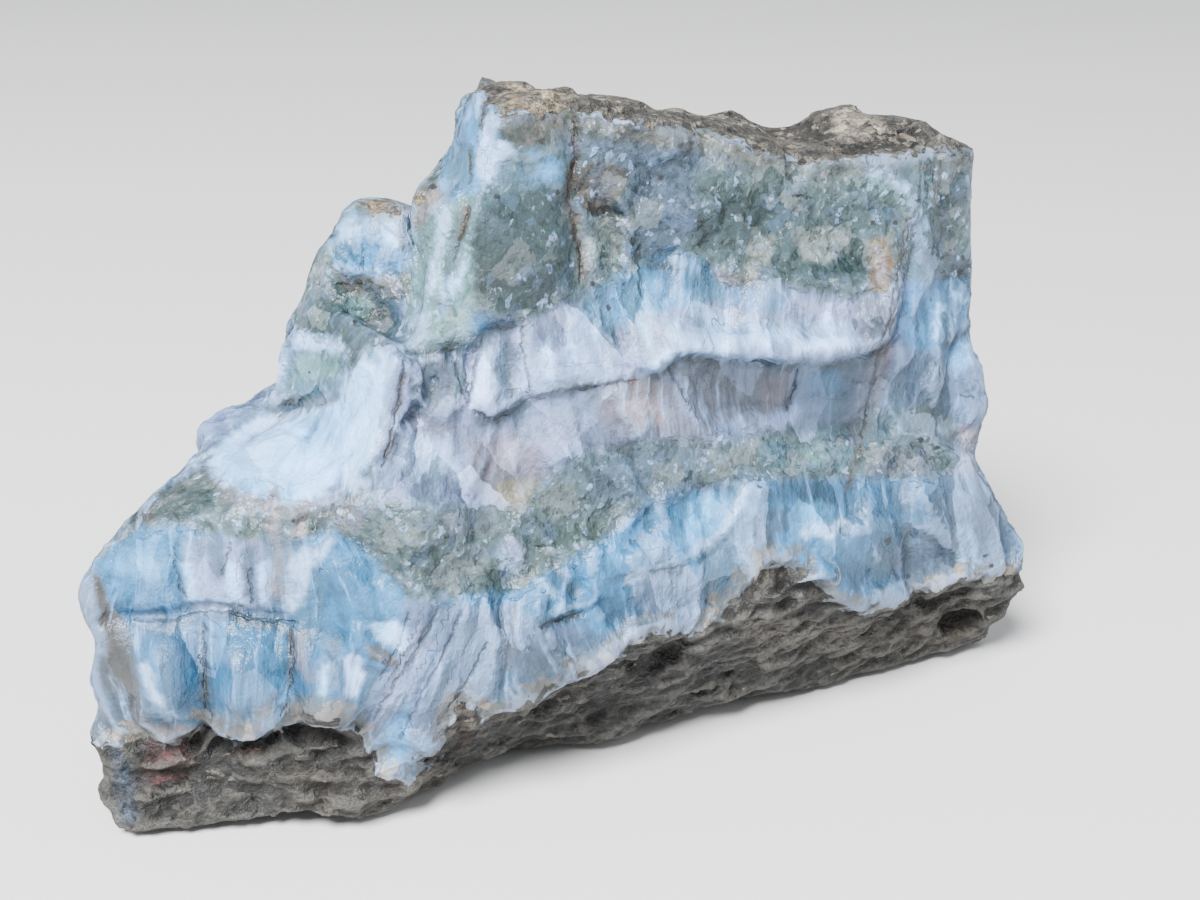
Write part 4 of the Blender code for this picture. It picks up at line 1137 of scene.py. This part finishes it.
    ("greyGreen", 0.7, 4, [(452, 210), (470, 204), (462, 236), (448, 236)]),
    ("brownGrey", 0.8, 2, [(466, 202), (472, 206), (460, 244), (455, 242)]),
    ("iceWhite", 0.7, 3, [(440, 280), (458, 272), (466, 256), (470, 264), (452, 300), (440, 320)]),
    ("snow", 0.6, 4, [(404, 330), (420, 300), (430, 310), (428, 346), (408, 350)]),
    ("pinkWhite", 0.6, 4, [(392, 210), (440, 186), (446, 200), (416, 224), (404, 262), (396, 240)]),
]

# Thin lines of colour: pigment, strength, half width in pixels, paths
veinLines = [
    ("pinkWhite", 0.9, 5, [
        [(275, 480), (272, 520), (278, 560), (276, 604)],
        [(296, 540), (300, 516), (308, 496)],
    ]),
    ("snow", 0.9, 5, [
        [(338, 396), (300, 410), (262, 426), (226, 446)], [(640, 374), (676, 350), (740, 350)],
        [(622, 582), (650, 571), (688, 562)], [(690, 556), (724, 532), (742, 500), (744, 480)],
        [(300, 600), (306, 570), (322, 552), (334, 536)], [(446, 200), (440, 244), (430, 300)],
        [(296, 336), (344, 346)], [(860, 168), (884, 176), (912, 192)], [(505, 142), (494, 160), (482, 182)],
        [(498, 548), (508, 568), (522, 568)], [(800, 540), (812, 526), (830, 536), (846, 516)],
        [(790, 350), (852, 342)], [(398, 620), (402, 652)], [(142, 660), (154, 696), (176, 722)],
    ]),
    ("iceWhite", 0.8, 4, [
        [(600, 300), (594, 340)], [(724, 320), (716, 348)], [(770, 320), (766, 350)], [(828, 310), (832, 346)],
        [(642, 310), (650, 350)], [(676, 318), (672, 346)], [(566, 330), (580, 380)], [(546, 336), (552, 388)],
        [(366, 380), (356, 460)], [(380, 362), (370, 440)], [(540, 578), (556, 598)], [(560, 604), (566, 616)],
        [(188, 560), (192, 606)], [(230, 560), (232, 604)], [(262, 560), (262, 606)], [(326, 660), (322, 700)],
        [(940, 300), (936, 344)], [(962, 290), (950, 330)], [(970, 520), (976, 570)], [(960, 524), (962, 570)],
    ]),
    ("slateBlue", 0.7, 4, [
        [(610, 320), (620, 372)], [(700, 306), (698, 344)], [(742, 306), (744, 346)], [(800, 312), (804, 344)],
        [(584, 330), (604, 376)], [(660, 330), (664, 352)], [(514, 340), (520, 390)], [(664, 580), (650, 616)],
        [(690, 576), (680, 620)], [(556, 570), (584, 606)], [(160, 640), (168, 700)], [(330, 640), (338, 690)],
        [(430, 620), (396, 700)], [(460, 640), (430, 710)], [(500, 620), (486, 680)], [(960, 300), (944, 340)],
    ]),
    ("brownGrey", 0.9, 4, [
        [(573, 106), (575, 160), (567, 200), (580, 250), (584, 286)], [(404, 366), (396, 420), (384, 466)],
        [(527, 400), (560, 391), (600, 386), (640, 378)],
        [(860, 356), (884, 350), (894, 300), (906, 236), (912, 210)],
        [(862, 440), (852, 470), (846, 496)], [(872, 400), (866, 440)],
    ]),
    ("rust", 0.6, 3, [
        [(573, 130), (574, 160), (569, 196)], [(596, 388), (620, 384), (640, 378)], [(470, 206), (460, 240)],
        [(886, 250), (892, 280)], [(300, 408), (336, 400)], [(574, 206), (580, 226)],
    ]),
    # steel: dark seams along the cracks, and along the first lip a painted shadow under its overhang
    ("steel", 0.9, 5, [
        [(640, 386), (662, 372), (678, 360), (740, 362), (800, 366), (862, 362), (884, 356)],
        [(126, 624), (165, 625), (200, 616), (232, 616), (250, 622), (296, 628)],
        [(203, 622), (204, 660), (206, 704)],
        [(290, 630), (294, 660), (290, 690)], [(541, 629), (558, 621), (582, 614)], [(649, 574), (686, 568)],
        [(473, 415), (490, 422), (512, 415), (528, 402)], [(797, 370), (793, 394), (786, 414)],
        [(944, 346), (966, 332)],
    ]),
    # dark teal: painted shadow lines under the lips and ledges
    ("darkTeal", 0.8, 4, [
        [(646, 384), (662, 371), (677, 358), (740, 363), (810, 367), (864, 362)],
        [(626, 200), (634, 236), (634, 262)],
        [(640, 264), (690, 268)], [(704, 240), (700, 214)], [(402, 352), (430, 352), (474, 348), (484, 330)],
        [(410, 366), (416, 410)],
    ]),
]

# Small dark spots: half width in pixels, places
spots = {
    "large": (3.6, [(497, 197), (433, 187), (543, 141), (556, 191), (608, 308), (888, 541)]),
    "middle": (2.6, [
        (596, 194), (601, 268), (592, 284), (580, 108), (354, 322), (378, 312), (800, 196), (808, 197), (766, 194),
        (872, 222), (895, 223), (917, 201), (920, 440), (937, 448), (908, 576), (908, 605), (985, 556), (991, 566),
        (962, 258), (968, 266), (960, 272), (97, 580), (660, 178), (604, 132), (640, 470), (446, 536),
    ]),
    "small": (1.6, [
        (283, 520), (293, 520), (303, 518), (312, 530), (586, 150), (592, 168), (530, 250), (558, 264), (620, 206),
        (690, 200), (716, 222), (742, 208), (782, 260), (838, 214), (852, 246), (430, 232), (452, 224), (480, 232),
        (412, 330), (440, 160), (526, 330), (540, 372), (700, 300), (880, 470), (800, 452), (640, 520), (664, 540),
        (452, 570), (470, 598), (500, 590), (360, 560), (330, 580), (230, 700), (180, 660), (340, 360), (310, 372),
        (300, 400), (320, 404), (284, 404), (950, 250), (972, 240), (930, 300), (912, 470), (760, 452), (560, 500),
        (744, 424), (716, 432), (596, 424), (500, 470), (424, 470), (372, 500), (258, 470), (196, 500),
    ]),
}

# The same for the matrix
rockWashes = [
    ("rock", 1.0, 4, [(60, 720), (1050, 540), (1050, 860), (60, 860)]),
    # painted shade: dark rock under the overhanging nose and its teeth, where the matrix lies in shade
    ("darkRock", 0.75, 14, [(140, 740), (240, 744), (380, 750), (420, 790), (360, 812), (200, 824), (140, 800)]),
    ("warmRock", 0.7, 20, [(300, 740), (440, 760), (440, 800), (320, 840), (280, 800)]),
    ("darkRock", 0.8, 12, [(200, 720), (300, 730), (300, 770), (200, 770)]),
    # painted shadow under the teeth
    ("nearBlack", 0.8, 6, [(196, 730), (214, 722), (276, 742), (268, 758), (230, 756)]),
    ("darkRock", 0.7, 14, [(130, 780), (200, 790), (260, 800), (240, 820), (150, 810)]),
    # painted shade: dark rock under the overhanging foot lips
    ("darkRock", 0.8, 18, [
        (460, 730), (560, 700), (640, 670), (720, 640), (760, 590), (830, 600), (840, 660), (720, 690),
        (560, 740),
    ]),
    # painted shadow in the hollows under the peak and under the far foot lip
    ("nearBlack", 0.7, 8, [(756, 580), (800, 572), (830, 590), (828, 608), (770, 604)]),
    ("nearBlack", 0.7, 6, [(610, 664), (640, 650), (680, 644), (682, 664), (640, 676)]),
    ("warmRock", 0.6, 16, [(840, 630), (980, 600), (1000, 640), (900, 660), (840, 670)]),
    ("rock", 0.7, 10, [(480, 740), (640, 700), (780, 664), (900, 640), (900, 664), (740, 706), (560, 752)]),
    ("paleRock", 0.6, 6, [(296, 796), (340, 796), (340, 806), (296, 808)]),
    ("paleRock", 0.5, 12, [(740, 620), (860, 620), (860, 650), (760, 660)]),
    # painted shade: near-black under the nose's overhang
    ("nearBlack", 0.85, 16, [(150, 735), (280, 730), (380, 745), (410, 790), (340, 805), (160, 805)]),
    ("warmRock", 0.35, 8, [(250, 770), (300, 764), (360, 776), (340, 796), (270, 790)]),
    ("red", 1.0, 5, [(148, 742), (178, 736), (196, 746), (188, 778), (154, 786), (142, 764)]),
    ("red", 0.8, 2, [(526, 680), (534, 682), (532, 698), (526, 696)]),
    ("rust", 0.5, 5, [(236, 744), (262, 744), (262, 756), (238, 758)]),
    ("brown", 0.9, 4, [(456, 704), (474, 700), (476, 744), (460, 750)]),
    ("slateBlue", 0.35, 8, [(110, 740), (130, 760), (136, 820), (118, 826)]),
    # the cap
    ("rock", 1.0, 4, [(430, 40), (1000, 40), (1000, 170), (780, 164), (640, 126), (500, 118), (440, 120)]),
    ("sand", 0.8, 6, [(500, 84), (548, 82), (572, 98), (566, 114), (510, 114)]),
    ("whiteRock", 0.7, 5, [(516, 84), (546, 88), (550, 104), (524, 104)]),
    ("rock", 0.8, 5, [
        (600, 106), (700, 118), (820, 128), (900, 134), (930, 148), (860, 152), (760, 146), (700, 130),
    ]),
    ("darkRock", 0.6, 10, [(560, 96), (1000, 96), (1000, 170), (780, 164), (640, 126), (560, 118)]),
    ("whiteRock", 0.7, 5, [(830, 112), (856, 106), (884, 122), (880, 138), (836, 138)]),
    ("brownGrey", 0.7, 5, [(466, 76), (500, 76), (504, 96), (478, 100)]),
    ("sand", 0.9, 4, [(350, 190), (436, 184), (416, 220), (366, 222)]),
]


# Soft edges wander more than sharp ones
def washed(tone, sketch, washes, wander):
    for pigment, strength, soft, outline in washes:
        deep = sketch.depthInside(outline, wander * min(1.0, 0.2 + soft / 8.0), limit=soft + 2.0)
        tone = mixed(tone, pigment, strength * smoothStep(-soft, soft, deep) * sketch.seen)
    return tone


def lined(tone, sketch, lines, wander):
    for pigment, strength, half, paths in lines:
        for path in paths:
            index, away, _, along = sketch.near(path, half * 2.0, wander=wander)
            share = strength * smoothStep(half * 2.0, 0.0, away) * sketch.seen[index] * tipsOf(along, 0.1)
            tone[index] += (pigmentTone(pigment) - tone[index]) * share[:, None]
    return tone


# The look that goes all round, for the sides that the photograph doesn't show. Each patch of a pigment
# comes from noise, busy by so much to the millimetre along x, y and z.
coats = {
    "mottle": (0.3, 0.3, 0.14),
    "second mottle": (0.45, 0.45, 0.2),
    "rock patches": (0.3, 0.3, 0.6),
    "rock warmth": (0.18, 0.18, 0.18),
    # painted light: the matrix turns paler towards the top, as if lit from above
    "painted light on the cap": (30.0, 40.0),  # heights between which the matrix turns paler
}


def coatNoise(skin, name, rounds=4):
    return cloudy(skin.spots * np.array(coats[name]), seeds[name], rounds)


def veinCoat(skin):
    tone = np.tile(pigmentTone("skyBlue"), (skin.count, 1))
    mottle, second = coatNoise(skin, "mottle"), coatNoise(skin, "second mottle")
    tone = mixed(tone, "lilacWhite", smoothStep(0.0, 0.5, mottle) * 0.5)
    tone = mixed(tone, "slateBlue", smoothStep(0.1, 0.7, -mottle) * 0.8)
    over = smoothStep(-0.8, 0.8, levelOf(skin, "green"))
    tone = mixed(tone, "lilac", over * 0.9)
    tone = mixed(tone, "snow", over * smoothStep(0.0, 0.5, mottle) * 0.8)
    tone = mixed(tone, "slateBlue", over * smoothStep(0.1, 0.6, second) * 0.8)
    grainy = greenBehind(skin)
    tone = mixed(tone, "greyGreen", grainy * 0.95)
    tone = mixed(tone, "teal", grainy * smoothStep(0.0, 0.5, second) * 0.85)
    tone = mixed(tone, "paleGrey", grainy * smoothStep(0.1, 0.5, -second) * 0.8)
    return mixed(tone, "pinkGrey", smoothStep(0.35, 0.7, second) * (1.0 - grainy) * 0.5)


def rockCoat(skin):
    tone = np.tile(pigmentTone("rock"), (skin.count, 1))
    patches = coatNoise(skin, "rock patches")
    tone = mixed(tone, "darkRock", smoothStep(0.0, 0.6, patches) * 0.7)
    tone = mixed(tone, "paleRock", smoothStep(0.1, 0.8, -patches) * 0.5)
    tone = mixed(tone, "warmRock", smoothStep(0.0, 0.6, coatNoise(skin, "rock warmth", 3)) * 0.5)
    # painted light from above: the matrix paler on the upper part
    return mixed(tone, "paleRock", smoothStep(*coats["painted light on the cap"], skin.spots[:, 2]) * 0.7)


def setColour(mesh, name, tone):
    layer = mesh.attributes.new(name, "FLOAT_COLOR", "POINT")
    layer.data.foreach_set("color", np.concatenate((tone, np.ones((len(tone), 1))), axis=1).ravel())


def setNumber(mesh, name, value):
    layer = mesh.attributes.new(name, "FLOAT", "POINT")
    layer.data.foreach_set("value", value)


def setVector(mesh, name, value):
    layer = mesh.attributes.new(name, "FLOAT_VECTOR", "POINT")
    layer.data.foreach_set("vector", value.ravel())


# A socket's value in the finish, which can be reckoned with
class Value:
    def __init__(self, paint, socket):
        self.paint = paint
        self.socket = socket

    def math(self, operation, other, swapped=False):
        pair = (other, self) if swapped else (self, other)
        return self.paint.node("ShaderNodeMath", {"operation": operation}, {0: pair[0], 1: pair[1]})

    def __add__(self, other):
        return self.math("ADD", other)

    def __radd__(self, other):
        return self.math("ADD", other, swapped=True)

    def __sub__(self, other):
        return self.math("SUBTRACT", other)

    def __rsub__(self, other):
        return self.math("SUBTRACT", other, swapped=True)

    def __mul__(self, other):
        return self.math("MULTIPLY", other)

    def __rmul__(self, other):
        return self.math("MULTIPLY", other, swapped=True)

    # Another output of the same node
    def also(self, name):
        return Value(self.paint, self.socket.node.outputs[name])


# A finish being built, node by node
class Paint:
    def __init__(self, name):
        self.material = bpy.data.materials.new(name)
        self.material.use_nodes = True
        self.tree = self.material.node_tree
        self.tree.nodes.clear()

    # A node of a type, with its settings made first and then its sockets filled or linked
    def node(self, kind, settings, sockets, out=0):
        made = self.tree.nodes.new(kind)
        for key, value in settings.items():
            setattr(made, key, value)
        for key, value in sockets.items():
            if isinstance(value, Value):
                self.tree.links.new(value.socket, made.inputs[key])
            else:
                made.inputs[key].default_value = value
        return Value(self, made.outputs[out]) if made.outputs else None

    def attribute(self, name, out="Fac"):
        return self.node("ShaderNodeAttribute", {"attribute_name": name}, {}, out)

    def vector(self, operation, first, second, out=0):
        return self.node("ShaderNodeVectorMath", {"operation": operation}, {0: first, 1: second}, out)

    def times(self, colour, value):
        return self.node("ShaderNodeVectorMath", {"operation": "SCALE"}, {0: colour, "Scale": value})

    def noise(self, vector, scale, detail, rough, out=0):
        values = {"Vector": vector, "Scale": scale, "Detail": detail, "Roughness": rough}
        return self.node("ShaderNodeTexNoise", {}, values, out)

    # Flat faces that each lean their own way: the height of the lean, and three numbers of the face
    def faces(self, vector):
        colour = self.node("ShaderNodeTexVoronoi", {}, {"Vector": vector, "Scale": 1.0}, "Color")
        away = self.vector("SUBTRACT", vector, colour.also("Position"))
        lean = self.vector("DOT_PRODUCT", away, self.vector("SUBTRACT", colour, (0.5, 0.5, 0.5)), out="Value")
        numbers = self.node("ShaderNodeSeparateColor", {}, {"Color": colour})
        return lean, numbers, numbers.also("Green"), numbers.also("Blue")

    # From 0 at the low value to 1 at the high one, eased
    def steps(self, value, low, high):
        settings = {"interpolation_type": "SMOOTHSTEP", "clamp": True}
        return self.node("ShaderNodeMapRange", settings, {0: value, 1: low, 2: high})

    def mix(self, share, first, second):
        settings = {"data_type": "RGBA", "clamp_factor": True}
        return self.node("ShaderNodeMix", settings, {0: share, 6: first, 7: second}, out=2)

    def mixVector(self, share, first, second):
        settings = {"data_type": "VECTOR", "factor_mode": "UNIFORM", "clamp_factor": True}
        return self.node("ShaderNodeMix", settings, {0: share, 4: first, 5: second}, out=1)

    # Heights are in millimetres
    def bump(self, height):
        return self.node("ShaderNodeBump", {}, {"Strength": 1.0, "Distance": mm, "Height": height})

    def output(self, shader):
        self.node("ShaderNodeOutputMaterial", {}, {"Surface": shader})


def inkOf(name):
    return (*pigmentTone(name), 1.0)


# The finish: how busy its patterns are to the millimetre, how far its faces reach into dark and bright,
# and the tone of the painted shade that darkens its hollows
finish = {
    "grain": (1.7, 3.0, 0.7),
    "jag": (0.9, 2.0, 0.6),
    "streak": (1.2, 3.0, 0.6),
    "streakRun": (1.0, 1.0, 0.14),
    "scraps": 0.8,
    "wideSilk": (0.42, 0.42, 0.2),
    "wideGreen": 0.5,
    "wideRock": (0.45, 0.45, 1.1),
    "fineSilk": (1.25, 1.25, 0.55),
    "fineGreen": 1.9,
    "fineRock": (1.1, 1.1, 3.0),
    "dark": (0.40, 0.45, 0.40),
    "bright": 1.34,
    "shade": (0.36, 0.31, 0.26),
    "gloss": 0.34,
}


def stoneFinish():
    paint = Paint("larimarBreak")
    place = paint.node("ShaderNodeTexCoord", {}, {}, "Object")
    point = paint.times(place, 1.0 / mm)  # in millimetres
    fibre = paint.attribute("fibres", "Vector")
    matrix, green, hollow = (paint.attribute(name) for name in ("matrix", "green", "hollow"))
    line, dark, spot, cloud = (paint.attribute(name) for name in ("line", "dark", "spot", "cloud"))
    paintedTopLight, still = paint.attribute("paintedTopLight"), paint.attribute("still")

    grain = paint.noise(point, *finish["grain"])
    jag = paint.vector("SUBTRACT", paint.noise(point, *finish["jag"], out="Color"), (0.5, 0.5, 0.5))
    streak = paint.noise(paint.vector("MULTIPLY", fibre, finish["streakRun"]), *finish["streak"])
    loose = paint.vector("ADD", point, paint.times(jag, 1.1))
    # scraps where one ground breaks into another
    _, tornA, tornB, _ = paint.faces(paint.times(loose, finish["scraps"]))
    edge = matrix + (cloud - 0.5) * 1.2 + (tornB - 0.5) * 0.7
    isRock = paint.steps(edge, -0.06, 0.06)
    isGreen = paint.steps(green + (cloud - 0.5) * 0.7 + (tornA - 0.5) * 0.75, 0.45, 0.55)
    isSilk = (1.0 - isGreen) * (1.0 - isRock)

    # leaning faces: long along the fibres, short in the grainy zones, flat flakes in the matrix
    bent = paint.vector("ADD", fibre, paint.times(jag, 0.6))
    wide = paint.vector("MULTIPLY", bent, finish["wideSilk"])
    wide = paint.mixVector(isGreen, wide, paint.times(loose, finish["wideGreen"]))
    wide = paint.mixVector(isRock, wide, paint.vector("MULTIPLY", loose, finish["wideRock"]))
    fine = paint.vector("MULTIPLY", bent, finish["fineSilk"])
    fine = paint.mixVector(isGreen, fine, paint.times(loose, finish["fineGreen"]))
    fine = paint.mixVector(isRock, fine, paint.vector("MULTIPLY", loose, finish["fineRock"]))
    wideLean, wideA, wideB, wideC = paint.faces(wide)
    fineLean, fineA, fineB, _ = paint.faces(fine)
    meeting = isGreen * (1.0 - isGreen) + isRock * (1.0 - isRock)
    calm = paint.steps(meeting, 0.12, 0.0)  # the faces fade out where two kinds of ground meet
    calm = calm * (1.0 - still * (1.0 - isRock) * 0.6)
    wideA = (wideA - 0.5) * calm + 0.5
    fineA = (fineA - 0.5) * calm

    tone = paint.attribute("veinTone", "Color")
    deep = paint.vector("MULTIPLY", tone, finish["dark"])
    bright = paint.times(tone, finish["bright"])
    silk = 0.02 + wideA * 0.55 + fineA * 0.32 + (streak - 0.5) * 0.9 + (cloud - 0.5) * 0.2 + (grain - 0.5) * 0.45
    pale = paint.vector("DOT_PRODUCT", tone, (0.33, 0.33, 0.33), out="Value")
    silk = paint.mix(silk + paint.steps(pale, 0.28, 0.58) * 0.30, deep, bright)
    silk = paint.mix(paint.steps(streak, 0.58, 0.72) * 0.35, silk, inkOf("iceWhite"))
    chance = wideB + (streak - 0.5) * 0.5
    silk = paint.mix(paint.steps(chance, 0.80, 0.90) * calm * 0.25, silk, inkOf("snow"))
    silk = paint.mix(paint.steps(chance, 0.20, 0.12) * calm * 0.30, silk, inkOf("blueGreen"))
    chip = 0.12 + wideA * 0.40 + fineA * 0.30 + (cloud - 0.5) * 0.9 + (grain - 0.5) * 0.5
    chip = paint.mix(chip, deep, bright)
    chip = paint.mix(paint.steps(wideB + (grain - 0.5) * 0.7, 0.78, 0.90) * calm * 0.35, chip, inkOf("paleGrey"))
    chip = paint.mix(paint.steps(tornB, 0.86, 0.88) * 0.35, chip, inkOf("slateBlue"))
    # small white specks in the grainy zones: partly pale crystal grains, partly painted glints
    chip = paint.mix(paint.steps(fineB + (grain - 0.5) * 0.4, 0.94, 0.99) * calm * 0.35, chip, inkOf("snow"))
    vein = paint.mix(isGreen, silk, chip)

    rock = wideA * 1.1 + fineA * 0.8 + grain * 1.0 - 0.12
    rock = paint.times(paint.attribute("rockTone", "Color"), rock)
    # the matrix's pale grain, made paler towards the top as painted light, then small white specks as painted
    # glints, more of them on the top
    rock = paint.mix(paint.steps(grain, 0.58, 0.68) * (0.24 + paintedTopLight * 0.24), rock, inkOf("paleRock"))
    rock = paint.mix(paint.steps(fineB + paintedTopLight * 0.16, 0.98, 1.0) * 0.4, rock, inkOf("whiteRock"))
    rock = paint.mix(paint.steps(grain, 0.48, 0.38) * 0.8, rock, inkOf("nearBlack"))

    # a crust where vein nears matrix, then painted shade in the hollows, pale ridges, slits and spots
    crust = paint.steps(edge + (tornA - 0.5) * 0.8 + (grain - 0.5) * 3.0, -1.9, -0.6) * (1.0 - paintedTopLight * 0.5)
    vein = paint.mix(crust * 0.8, vein, paint.times(inkOf("tan")[:3], 0.3 + wideA * 0.4 + grain * 0.9))
    # painted glints: small white specks on the crust
    vein = paint.mix(crust * paint.steps(fineB, 0.88, 0.94) * 0.5, vein, inkOf("whiteRock"))
    stone = paint.mix(isRock, vein, rock)
    # painted shade: hollows are darkened and warmed, more on the matrix than on the vein
    shade = paint.steps(hollow, 0.15, 1.0) * (0.5 + isRock * 0.35)
    stone = paint.mix(shade, stone, paint.vector("MULTIPLY", stone, finish["shade"]))
    proud = paint.steps(hollow, -0.2, -0.9) * (0.22 - isGreen * 0.14 + isRock * 0.2) * (1.0 - still)
    stone = paint.mix(proud, stone, paint.mix(isRock, inkOf("snow"), inkOf("tan")))
    slit = line.math("ABSOLUTE", 0.0) + (grain - 0.5) * 0.35
    stone = paint.mix(paint.steps(slit, 0.13, 0.0) * dark * 0.6, stone, inkOf("brown"))
    stone = paint.mix(paint.steps(spot + (grain - 0.5) * 0.6, 0.02, -0.04) * 0.92, stone, inkOf("nearBlack"))

    rough = finish["gloss"] + wideC * 0.26 + isRock * 0.25
    relief = (wideLean * (1.6 - isGreen * 0.9) + fineLean * 0.3) * calm + (streak - 0.5) * 0.25 * isSilk
    relief = relief + (grain - 0.5) * (0.18 + isRock * 0.6) - paint.steps(slit, 0.2, 0.0) * dark * 0.15
    values = {"Base Color": stone, "Roughness": rough, "Normal": paint.bump(relief)}
    paint.output(paint.node("ShaderNodeBsdfPrincipled", {}, values))
    return paint.material


def buildStone():
    mesh = fineMesh()
    skin = Skin(mesh)
    print("stone skin:", skin.count, "points,", len(mesh.polygons), "faces")
    sketch = Sketch(skin)
    pressFacets(skin, sketch)
    sketch = Sketch(skin)
    skin.raised(drawnRelief(skin, sketch))
    print("drawn relief done")
    matrix, green = groundOf(skin, sketch)
    fibres = fibreGrid(skin, sketch)
    skin.raised(groundRelief(skin, sketch, matrix, green, fibres))
    skin.withoutSpikes()
    fittedToBox(skin)
    sketch = Sketch(skin)
    matrix, green = groundOf(skin, sketch)
    line, dark, spot = cracksAndSpots(skin, sketch)
    print("ground relief done")
    wander = wandering(skin, 8.0, 4.0, seeds["washes"])
    veinTone = washed(veinCoat(skin), sketch, veinWashes, wander)
    setColour(mesh, "veinTone", lined(veinTone, sketch, veinLines, wander))
    setColour(mesh, "rockTone", washed(rockCoat(skin), sketch, rockWashes, wander))
    numbers = {
        "matrix": matrix,
        "green": green,
        "line": line,
        "dark": dark,
        "spot": spot,
        "cloud": 0.5 + 0.2 * cloudy(skin.spots * 0.45, seeds["cloud"], 4),
        # painted top light: the upper part of the stone, where the matrix gets paler grain, more painted glints and
        # less crust
        "paintedTopLight": smoothStep(30.0, 38.0, skin.spots[:, 2]),
        "still": stillness(skin, sketch),
    }
    for name, value in numbers.items():
        setNumber(mesh, name, value)
    setNumber(mesh, "hollow", 0.6 * hollowness(skin, *hollows["near"]) + 0.6 * hollowness(skin, *hollows["far"]))
    setVector(mesh, "fibres", fibres)
    mesh.materials.append(stoneFinish())
    mesh.shade_smooth()
    stone = bareObject("larimarStone", mesh)
    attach(stone, "root")
    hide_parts("larimar")
    print("colours done")


room = {
    "floorWidth": 6.0,
    "floorTone": 0.62,
    "floorRoughness": 0.8,
    "sky": (0.93, 0.96, 1.0, 1.0),
    "skyLight": 0.75,
}
lights = {
    "softKey": {"place": (-0.46, -0.40, 0.66), "size": 0.34, "power": 39.0},
    "softFill": {"place": (0.55, -0.55, 0.35), "size": 0.6, "power": 1.5},
}


def buildStudio():
    shape = bmesh.new()
    bmesh.ops.create_grid(shape, x_segments=1, y_segments=1, size=room["floorWidth"] / 2)
    mesh = bpy.data.meshes.new("floor")
    shape.to_mesh(mesh)
    shape.free()
    floor = bareObject("floor", mesh)
    floorPaint = Paint("paleFloor")
    values = {"Base Color": (*[room["floorTone"]] * 3, 1.0), "Roughness": room["floorRoughness"]}
    floorPaint.output(floorPaint.node("ShaderNodeBsdfPrincipled", {}, values))
    mesh.materials.append(floorPaint.material)
    world = bpy.data.worlds.new("softRoom")
    bpy.context.scene.world = world
    world.use_nodes = True
    sky = world.node_tree.nodes["Background"]
    sky.inputs["Color"].default_value = room["sky"]
    sky.inputs["Strength"].default_value = room["skyLight"]
    for name, values in lights.items():
        light = bpy.data.lights.new(name, "AREA")
        light.shape = "DISK"
        light.size = values["size"]
        light.energy = values["power"]
        made = bareObject(name, light)
        made.location = values["place"]
        toStone = Vector((0.0, 0.0, photoView["aim"][2])) - Vector(values["place"])
        made.rotation_euler = toStone.to_track_quat("-Z", "Y").to_euler()


def buildCamera():
    eye, _, _, back = viewAxes()
    data = bpy.data.cameras.new("photoCamera")
    data.sensor_width = 36.0
    data.lens = data.sensor_width * photoView["focal"] / photoView["width"]
    data.clip_start = 0.005
    camera = bareObject("photoCamera", data)
    camera.location = Vector(eye)
    camera.rotation_euler = Vector(back).to_track_quat("Z", "Y").to_euler()
    bpy.context.scene.camera = camera


buildCamera()
buildStone()
buildStudio()
